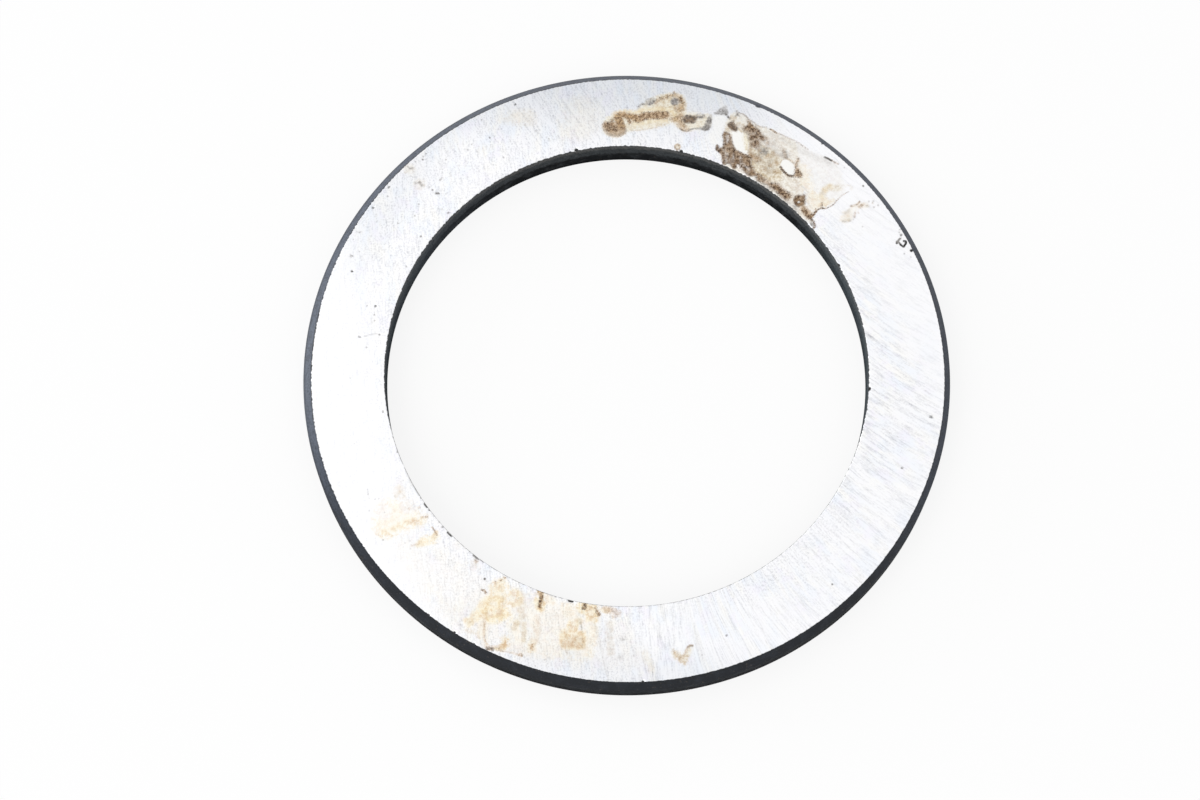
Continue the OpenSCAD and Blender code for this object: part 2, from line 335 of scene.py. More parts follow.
# The wide spill to the right of the worm-shaped stain, down to the bore: tan film, dark masses and the
# bare islands
SPILL = (
    patch(WASH, 0.42, 0.25, 13.6, 38.4, 14.2, 39.2, 15.6, 39, 16.3, 38.5, 16.8, 38, 17.3, 37.6, 18, 37.25,
        19, 37, 20, 36.65, 21.5, 35.8, 22.5, 35.3, 23.6, 34.6, 24.2, 33.6, 24.5, 32, 24.7, 30.4, 24.9, 29,
        25.2, 28, 25.6, 26.8, 26.2, 25.4, 26.3, 24.6, 25.9, 23.9, 25.5, 23.3, 25.8, 22.3, 24.4, 23.2,
        23.3, 24.2, 21.8, 25.6, 20, 27, 18.5, 28.1, 16.9, 29.1, 15, 30.1, 13.2, 30.9, 12.9, 32.3,
        12.5, 33.3, 13, 34.2, 13, 35.6, 13.1, 36.6, 13.3, 37.6, soft=0.18),
    patch(GREY, 0.14, 0.3, 17.6, 34, 19, 35.4, 20.2, 34.6, 21.4, 33.6, 21, 32, 20.6, 30.6, 20, 29.6,
        18.4, 30.2, 17.6, 31.6, soft=0.5),
    streak(GREY, 0.8, 0.2, 0.2, 19.8, 36.1, 22, 35, 24.3, 33.5, 26.8, 32.4, 28.4, 31.6, soft=0.3),
    patch(WASH, 0.5, 0.3, 21, 30.6, 21.6, 30, 22.6, 29.4, 23.6, 29.2, 23.9, 27.6, 23.2, 27, 22.4, 28,
        21, 28.8, 20.4, 29.4, soft=0.5),
    patch(WASH, 0.8, 0.42, 17, 34, 17.6, 33, 18.4, 34, 19, 35.4, 19.8, 35, 20.2, 33.6, 21, 32.6, 21, 31,
        21, 30, 20.8, 29.2, 19.4, 29.2, 18, 30, 17.2, 31.2, 16.9, 32.6, soft=0.5),
    dots(GREY, 0.5, 0.26, 0.3, 19.2, 34.8, 20.3, 34.8, 18.1, 32.4, 19.5, 30.5, 20.3, 33, 19.6, 32,
        soft=0.3),
    dots(GREY, 0.6, 0.6, 0.4, 21.55, 32.6, 22.05, 32.65, 21.65, 33.3, soft=0.25),
    patch(WASH, 0.42, 0.42, 18.6, 35.6, 19.8, 35.9, 21.4, 35, 22.4, 33.6, 22, 32.7, 21, 33, 20, 34,
        18.9, 34.6, soft=0.5),
    patch(RUST, 0.25, 0, 24, 31.4, 25, 31, 25.6, 29, 25.4, 27.4, 24.4, 27.4, 24, 29.4, soft=0.6),
    patch(WASH, 0.15, 0.3, 23.6, 34.6, 25, 33.8, 26.5, 33, 27.5, 32.7, 28.9, 31.9, 29.6, 31, 30, 29.3,
        30.3, 27.6, 29.6, 26.9, 28.9, 25.9, 28.2, 25.3, 27.6, 25, 26.9, 24.95, 26.2, 24.5, 25, 25, 24.6, 28,
        24.4, 31, soft=0.3),
    patch(RUST, 0.3, 0.15, 25.1, 27.4, 26.2, 27.2, 27.6, 26.6, 28.3, 25.7, 27.4, 25.1, 26.6, 24.9,
        25.9, 24.3, 25.3, 24.8, 24.8, 26.2, soft=0.35),
    patch(WASH, 0.6, 0.4, 13.2, 36.4, 13.3, 37.6, 14, 38.5, 14.9, 38.3, 15.3, 37.5, 16.2, 37, 15.8, 36.2,
        14.8, 36.5, 13.9, 36.6),
    patch(WASH, 0.35, 0, 15, 38.4, 15.5, 38.7, 16.2, 38.3, 16.4, 37.8, 16, 37.4, 15.3, 37.5, 15, 37.9,
        soft=0.12),
    patch(BARE, 1, 0, 14.1, 36.2, 14.8, 36.5, 15.4, 36.2, 16, 35.8, 16.4, 35.1, 16.55, 34.2, 16.45, 33.3,
        16.1, 32.8, 15.3, 33.1, 14.9, 33.4, 14.5, 34.2, 14.15, 35, 14.2, 35.7, soft=0.12),
    patch(BARE, 1, 0, 21.2, 31.8, 21.7, 32.2, 22.3, 32, 22.8, 31.6, 23.2, 31, 23.25, 30.4, 23.1, 30,
        22.6, 29.9, 22, 30.2, 21.5, 30.7, 21.15, 31.2, soft=0.08),
    patch(GREY, 0.85, 0.5, *LOW_MASS, soft=0.16),
    patch(CRUST, 0.46, 0.42, *LOW_MASS, soft=0.16),
    streak(BARE, 0.1, 0.25, 0.3, 13.4, 32.8, 13.35, 31.6, soft=0.3),
    streak(BARE, 0.12, 0.3, 0.3, 14.3, 32.75, 14.35, 32.15, soft=0.25),
    streak(BARE, 0.08, 0.2, 0.3, 13.55, 35.6, 13.5, 34.6, soft=0.3),
    streak(BARE, 0.08, 0.2, 0.3, 15.4, 32.3, 15.5, 31.3, soft=0.3),
    streak(BARE, 0.12, 0.3, 0.3, 15.9, 31.1, 16.5, 30.7, soft=0.25),
    dots(GREY, 0.6, 0.6, 0.3, 13.5, 35.3, 13.5, 34.3, 16.9, 30.6, 13.4, 33.1, 15.2, 32.6, soft=0.3),
    dots(CRUST, 0.6, 0.3, 0.3, 14.3, 31.7, 13.45, 33.4, 16, 31.1, 13.5, 35.2, 15.1, 32.3, 13.6, 34.2,
        soft=0.3),
    patch(WASH, 0.65, 0.3, 14.8, 37.3, 14.9, 36.6, 15.3, 36.3, 15.9, 36.1, 16.1, 36.6, 15.7, 37.3,
        15.2, 37.6, soft=0.2),
    patch(WASH, 0.75, 0.15, 15.9, 35.9, 16.4, 35.9, 16.6, 34.8, 16.5, 33.6, 16.1, 33.5, 15.95, 34.4,
        15.8, 35.2),
    patch(GREY, 0.4, 0.5, *MASS_LINK),
    patch(CRUST, 0.36, 0.15, *MASS_LINK),
    patch(GREY, 0.7, 0.45, *HIGH_MASS, soft=0.2),
    patch(CRUST, 0.42, 0.34, *HIGH_MASS, soft=0.2),
    dots(WASH, 0.4, 0.4, 0.4, 17.3, 35.2, 16.9, 36.2, 17.9, 35.7, 17.5, 34.2, soft=0.25),
    dots(GREY, 0.5, 0.6, 0.45, 16.6, 35.5, 17.4, 36.2, 17.8, 35.1, 16.2, 36.6, soft=0.25),
    dots(CRUST, 0.5, 0.25, 0.25, 16.6, 35.5, 17.4, 36.2, 17.8, 35.1, 16.2, 36.6, soft=0.25),
    dots(CRUST, 0.36, 0.8, 0.75, 16.7, 36.7, 17.2, 36.6, 17.5, 35.6, 17.6, 34.7, 17.9, 36.2, 17.2, 34.3,
        18.4, 35.5, 16.3, 36.9, 17, 35.4, soft=0.2),
    dots(WASH, 0.4, 0.6, 0, 16.6, 35.5),
    streak(CRUST, 0.5, 0.8, 0.6, 16.5, 38, 16.7, 37.6, 16.9, 37.2, soft=0.2),
    patch(GREY, 0.95, 0.95, 13.5, 37.3, 13.9, 37.75, 14.3, 37.6, 14.5, 37.2, 14.9, 36.9, 14.8, 36.4,
        14.3, 36.5, 13.8, 36.8, soft=0.15),
    patch(CRUST, 0.6, 0.65, 13.5, 37.3, 13.9, 37.75, 14.35, 38, 14.5, 37.5, 14.9, 36.9, 14.8, 36.3,
        14.3, 36.35, 13.8, 36.8, soft=0.18),
    dots(PIT, 0.36, 0.5, 0.35, 13.9, 37.35, 14.25, 37.2, 14.45, 36.85, 14.65, 36.6, soft=0.2),
    streak(WASH, 0.3, 0.6, 0.7, 14.9, 37.2, 15.6, 37.1, 16.3, 37, soft=0.2),
    patch(GREY, 0.85, 0.6, 14.6, 39.45, 14.9, 39.45, 15, 39, 15.25, 38.55, 14.9, 38.8, 14.5, 38.6, 14.7, 39,
        soft=0.15),
    streak(CRUST, 0.26, 0.78, 0.7, 13.05, 36.1, 12.85, 35.6, 13.05, 35, 13, 34.3, 12.95, 33.9, soft=0.14),
    streak(CRUST, 0.34, 0.8, 0.6, 12.3, 33.2, 12.7, 32.75, 12.85, 32.2, 13, 31.3, soft=0.16),
    patch(CRUST, 0.88, 0.85, 11.8, 33.6, 11.9, 34.1, 12.1, 34.2, 12.3, 33.9, 12.35, 33.6, 12.5, 33.3,
        12.2, 33.1, 11.9, 33.3, soft=0.12),
    streak(CRUST, 0.28, 0.7, 0.6, 13.4, 36.05, 13.8, 35.7, 14, 35.2, 14.1, 34.6, soft=0.14),
    streak(CRUST, 0.5, 0.78, 0.6, 14.9, 33.15, 15.5, 32.85, 16.2, 32.55, 16.7, 32.4, soft=0.2),
    streak(CRUST, 0.4, 0.78, 0.65, 14.9, 32.4, 15, 31.9, 14.95, 31.4, soft=0.2),
    dots(CRUST, 0.55, 0.78, 0.6, 16.3, 31.8, 16.5, 31.2, 13.8, 33.4, 13.3, 32.3, 14.6, 30.9, 15.6, 30.9,
        13.6, 34.3, 15.6, 31.9, 14.2, 32.7, soft=0.25),
    dots(CRUST, 0.4, 0.8, 0.7, 18.2, 29.4, 17.2, 30.8, 16, 30.5, 14.4, 33.3, 16.7, 31.9, soft=0.2),
    streak(CRUST, 0.6, 0.8, 0.6, 17.2, 29.9, 18, 29.6, 18.6, 29.1, 19.4, 28.7, soft=0.25),
    dots(GREY, 0.9, 0.6, 0.5, 18.7, 33.4, soft=0.25),
    dots(CRUST, 0.4, 0.55, 0.3, 17.8, 32.4, 18.1, 32, 19.2, 34.7, 19, 35.4, 19.3, 32.6, 18.1, 33.5,
        19.6, 31.3, 20.4, 30.3, 18.9, 30.6, 20.6, 31.6, 20.1, 33, soft=0.3),
    streak(CRUST, 0.34, 0.9, 0.85, 21.15, 31, 21.45, 30.5, 21.9, 30.05, 22.4, 29.7, 23, 29.7, soft=0.12),
    patch(CRUST, 0.8, 0.6, 23.2, 30.9, 23.7, 31, 23.95, 30.4, 24.3, 29.7, 23.5, 29.5, 23.1, 29.8, soft=0.2),
    streak(CRUST, 0.42, 0.66, 0.48, 23.6, 32.3, 23.4, 31.7, 23.3, 31.1, soft=0.2),
    streak(CRUST, 0.26, 0.4, 0.25, 21.9, 32.4, 22.5, 32.15, 23, 31.7, soft=0.15),
    streak(CRUST, 0.4, 0.4, 0.4, 21.5, 33.6, 21.7, 33, 21.8, 32.55, soft=0.25),
    patch(GREY, 0.7, 0.6, 17.8, 29.6, 18.6, 29.3, 20, 28.4, 21, 27.9, 21.6, 27.2, 22.3, 26.5, 21.7, 26.2,
        20.8, 26.7, 19.9, 27.4, 19, 28.1, 18, 28.7, soft=0.2),
    patch(CRUST, 0.75, 0.6, 17.8, 29.5, 18.7, 29.2, 19.6, 28.6, 19.6, 28, 18.8, 28.4, 17.8, 28.9),
    patch(CRUST, 0.5, 0.36, 18.9, 28.9, 20, 28.6, 20.7, 28.5, 21.4, 28, 22.2, 27.3, 22.8, 26.7, 22.6, 26.1,
        21.9, 26, 21.2, 26.5, 20.6, 27.1, 19.8, 27.7, soft=0.3),
    dots(CRUST, 0.55, 0.85, 0.68, 20.5, 27.95, 21, 27.4, 21.4, 27, 21.9, 26.6, 22.3, 26.9, 20.1, 28.3,
        soft=0.25),
    patch(GREY, 0.4, 0.3, 18, 28.9, 19.2, 28.8, 20, 28.1, 20.4, 27.4, 20, 27, 18.9, 27.8, 18, 28.4),
    patch(GREY, 0.35, 0.25, 21, 26.6, 22, 26.1, 23.3, 25.1, 24, 24.2, 23.4, 24.1, 22, 25.4, 20.9, 26.3),
    patch(GREY, 0.8, 0.75, 23, 25.8, 23.2, 26.6, 23.9, 26.8, 24.5, 26.9, 24.7, 26.2, 24.6, 25.5, 24.1, 25.1,
        23.4, 25.1, soft=0.2),
    dots(CRUST, 1.7, 0.42, 0.36, 23.8, 25.95, soft=0.2),
    streak(CRUST, 0.42, 0.85, 0.68, 23.3, 26, 23.5, 25.4, 24, 25.35, 24.3, 25.9, 24.1, 26.4, 23.6, 26.4,
        23.3, 26, soft=0.14),
    dots(BARE, 0.34, 1, 0, 23.75, 25.75),
    dots(CRUST, 0.6, 0.6, 0.4, 24.4, 26.6, soft=0.25),
    patch(CRUST, 0.5, 0.12, 23.9, 24.9, 24.4, 25.4, 24.9, 25, 25.5, 24.4, 25.8, 23.6, 25.2, 23.2,
        24.4, 23.9, soft=0.2),
    patch(GREY, 0.35, 0.3, 24.2, 24.8, 24.8, 24.9, 25.5, 24, 25.2, 23.3, 24.6, 23.9, soft=0.2),
    streak(CRUST, 0.4, 0.82, 0.6, 24.45, 24.5, 24.75, 24, 25.2, 23.4, soft=0.18),
    streak(CRUST, 0.24, 0.85, 0.75, 25.35, 23.35, 25.9, 22.8, 26.05, 22.2, 25.85, 21.8, soft=0.12),
    patch(GREY, 0.6, 0.4, 25.3, 23.1, 25.8, 22.8, 25.9, 22.1, 25.5, 22.2, soft=0.15),
)

# The fine dark borders where the spill dried, and the faint loops beyond them
TIDE_LINES = (
    streak(GREY, 0.18, 0.5, 0.6, 15.1, 39.25, 15.6, 39.05, 16.1, 38.65, 16.6, 38.1, 17, 38, soft=0.08),
    streak(CRUST, 0.18, 0.4, 0.5, 15.5, 39.1, 16.1, 38.7, 16.6, 38.1, 17, 37.9, 17.4, 37.65, 17.8, 37.25,
        18.3, 37.15, 19, 37.1),
    streak(CRUST, 0.24, 0.8, 0.6, 19.6, 36.8, 20, 36.6, 20.5, 36.25, soft=0.08),
    streak(CRUST, 0.18, 0.4, 0.5, 20.8, 36.2, 22.5, 35.4, 23.5, 34.9, 25, 33.8, soft=0.12),
    streak(PIT, 0.3, 0.85, 0.55, 27.4, 32.75, 27.9, 32.5, 28.35, 32.25, soft=0.08),
    streak(CRUST, 0.22, 0.6, 0.45, 28.3, 32.3, 28.7, 32.05, 29.3, 31.75, soft=0.12),
    streak(CRUST, 0.3, 1, 0.9, 25.4, 23.3, 25.8, 23.8, 26.2, 24.4, soft=0.08),
    streak(CRUST, 0.2, 1, 0.75, 25.5, 23.4, 25.9, 23.9, 26.3, 24.5, 26.8, 24.85, 27.6, 24.9, soft=0.07),
    streak(CRUST, 0.13, 0.85, 0.62, 27.6, 24.9, 28.2, 25.2, 28.8, 25.7, 29.3, 26.35, soft=0.07),
    streak(CRUST, 0.13, 0.5, 0.4, 29.3, 26.35, 29.7, 26.85, 30.2, 27.15, 30.8, 27.55, soft=0.09),
    dots(CRUST, 0.34, 0.7, 0.5, 27, 25.3, 26.2, 24.7, 27, 25.6),
    streak(WASH, 0.5, 0.5, 0.35, 27.1, 26.8, 27.2, 27.4, 27.6, 27.9, 28.2, 28.25, 28.8, 28, 29.4, 28.1,
        soft=0.25),
    dots(RUST, 0.8, 0.35, 0.3, 27.5, 27.7, 25.6, 27.2, 25.7, 26.2, 28.2, 28.2, soft=0.3),
    streak(RUST, 0.45, 0.4, 0.25, 26.6, 25.3, 27.4, 25.35, 28.1, 25.7, 28.6, 26.1, soft=0.25),
    streak(WASH, 0.3, 0.24, 0.5, 29.9, 28.4, 30.5, 28.5, 31.1, 28.4, 31.2, 28, soft=0.2),
    patch(RUST, 0.2, 0.12, 29.6, 23.3, 30, 24.4, 31, 25.2, 32.2, 25.9, 33.6, 25.9, 33.6, 25.1, 32.2, 25,
        31.4, 24.2, 31.2, 23.2, 30.4, 22.8, soft=0.3),
    streak(CRUST, 0.3, 0.3, 0.15, 31.2, 25.35, 31.7, 25.5, soft=0.15),
    streak(CRUST, 0.3, 0.8, 0.5, 32.05, 25.5, 32.15, 25.65, 32.35, 26, soft=0.12),
    streak(CRUST, 0.5, 0.22, 0, 32.4, 25.35, 32.9, 25.6, soft=0.2),
    dots(CRUST, 0.24, 0.5, 0.3, 32.35, 25.25, 32.6, 25.45),
    dots(GREY, 0.34, 0.6, 0.5, 33.35, 25.45, 31.4, 23.8, 31.4, 23.4, 31.2, 25.4, soft=0.12),
    dots(RUST, 0.5, 0.3, 0.25, 30.7, 23.5, 31, 23.85, soft=0.2),
    patch(GREY, 0.1, 0, 30.1, 24.3, 30.9, 24.9, 31.3, 24.4, 31.3, 23.5, 30.8, 23, 30.1, 23.1, soft=0.15),
    streak(GREY, 0.26, 0.42, 0.3, 29.9, 23.05, 30.4, 22.95, 30.9, 23.05, 31.05, 23.2, soft=0.12),
    streak(GREY, 0.26, 0.34, 0.2, 30.2, 24.35, 30.6, 24.6, 30.9, 24.9, soft=0.12),
    streak(CRUST, 0.24, 0.5, 0.4, 31.75, 24.4, 31.65, 23.7, soft=0.12),
    dots(GREY, 0.3, 0.5, 0.4, 32.7, 25.6, 33.6, 25.4, 34.3, 26.2, 34.4, 25.3, 35, 25.6, 33.7, 26.2,
        soft=0.12),
    dots(CRUST, 0.3, 0.35, 0.35, 32.2, 24.4, 34.2, 25.9),
)

# Thin yellow rust at the left of the front, with its darker streaks
LEFT_RUST = (
    patch(RUST, 0.08, 0.1, -31, -26.5, -27, -24.5, -22, -27.5, -17, -30.6, -16, -38, -20, -39, -26, -34,
        soft=0.8),
    patch(RUST, 0.3, 0, -34, -23, -33.2, -20.4, -31.2, -19.6, -28.6, -20.4, -26.9, -21.6, -26.4, -22.4,
        -27.6, -23.4, -29.6, -24, -31.2, -25, -33, -24.8, soft=0.8),
    dots(RUST, 1.6, 0.16, 0.35, -30.6, -18.6, -32.6, -21.4, -29.2, -20.4, soft=0.5),
    streak(RUST, 0.75, 0.45, 0.06, -32.4, -24.6, -31.5, -24.3, -30.5, -23.7, -29.5, -23.15, -28.4, -22.8,
        -27.3, -22.55, soft=0.3),
    dots(RUST, 0.8, 0.46, 0.2, -31.4, -24.3, -29.3, -23.1, soft=0.3),
    patch(CRUST, 0.07, 0, -31.1, -17.4, -30.3, -16.8, -29.9, -18.4, -29.8, -19.6, -30.5, -19.3,
        -31.1, -18.8, soft=0.4),
    dots(WASH, 0.4, 0.35, 0.5, -30.6, -17.8, -30.5, -18.6, -31, -19.2, -29.8, -19.2, soft=0.2),
    streak(GREY, 0.14, 0.3, 0.1, -35, -18.2, -34.8, -19, -34.6, -19.6),
    streak(RUST, 0.3, 0.5, 0.5, -28.7, -22.75, -27.9, -22.65, soft=0.15),
    streak(CRUST, 0.24, 0.6, 0.25, -27.3, -22.05, -26.9, -22, -26.5, -21.9, soft=0.12),
    streak(CRUST, 0.22, 0.6, 0.34, -25.8, -23.4, -25.45, -23.9, -25.1, -24.45),
    patch(RUST, 0.5, 0.1, -25.1, -23.9, -24.7, -25, -25.6, -25.5, -26.8, -25.8, -27.7, -26, -27.1, -25.1,
        -26.2, -24.6, -25.6, -24.2, soft=0.3),
    streak(CRUST, 0.26, 0.3, 0.1, -28.5, -26.1, -28, -25.9, -27.5, -25.75, soft=0.15),
    streak(CRUST, 0.22, 0.26, 0.1, -33.4, -24.6, -33, -24.75, -32.6, -24.9, soft=0.12),
    dots(CRUST, 0.3, 0.5, 0.3, -27.7, -20.65, -29.05, -20.9, soft=0.15),
    patch(CRUST, 0.1, 0, -22.9, -25.4, -22.1, -25.6, -22.1, -26.4, -22.8, -26.2, soft=0.4),
    patch(CRUST, 0.16, 0, -20.3, -28, -19.8, -27.7, -19.3, -27.9, -19.6, -28.9, -20.1, -29.3, soft=0.35),
    dots(CRUST, 0.3, 0.5, 0.12, -19.5, -27.9, soft=0.15),
    dots(PIT, 0.2, 0.3, 0.1, -31.1, -19.2, -30.1, -16.9, -29.9, -19, -34.8, -19, -34.9, -18.4, -33.3, -19.6,
        -33.8, -19.7, -32.4, -21.5, -34.5, -21.3, -28.6, -26.5, -28.7, -25.4, -29.4, -25.7),
    dots(PIT, 0.26, 0.5, 0.2, -32.4, -25.4),
)

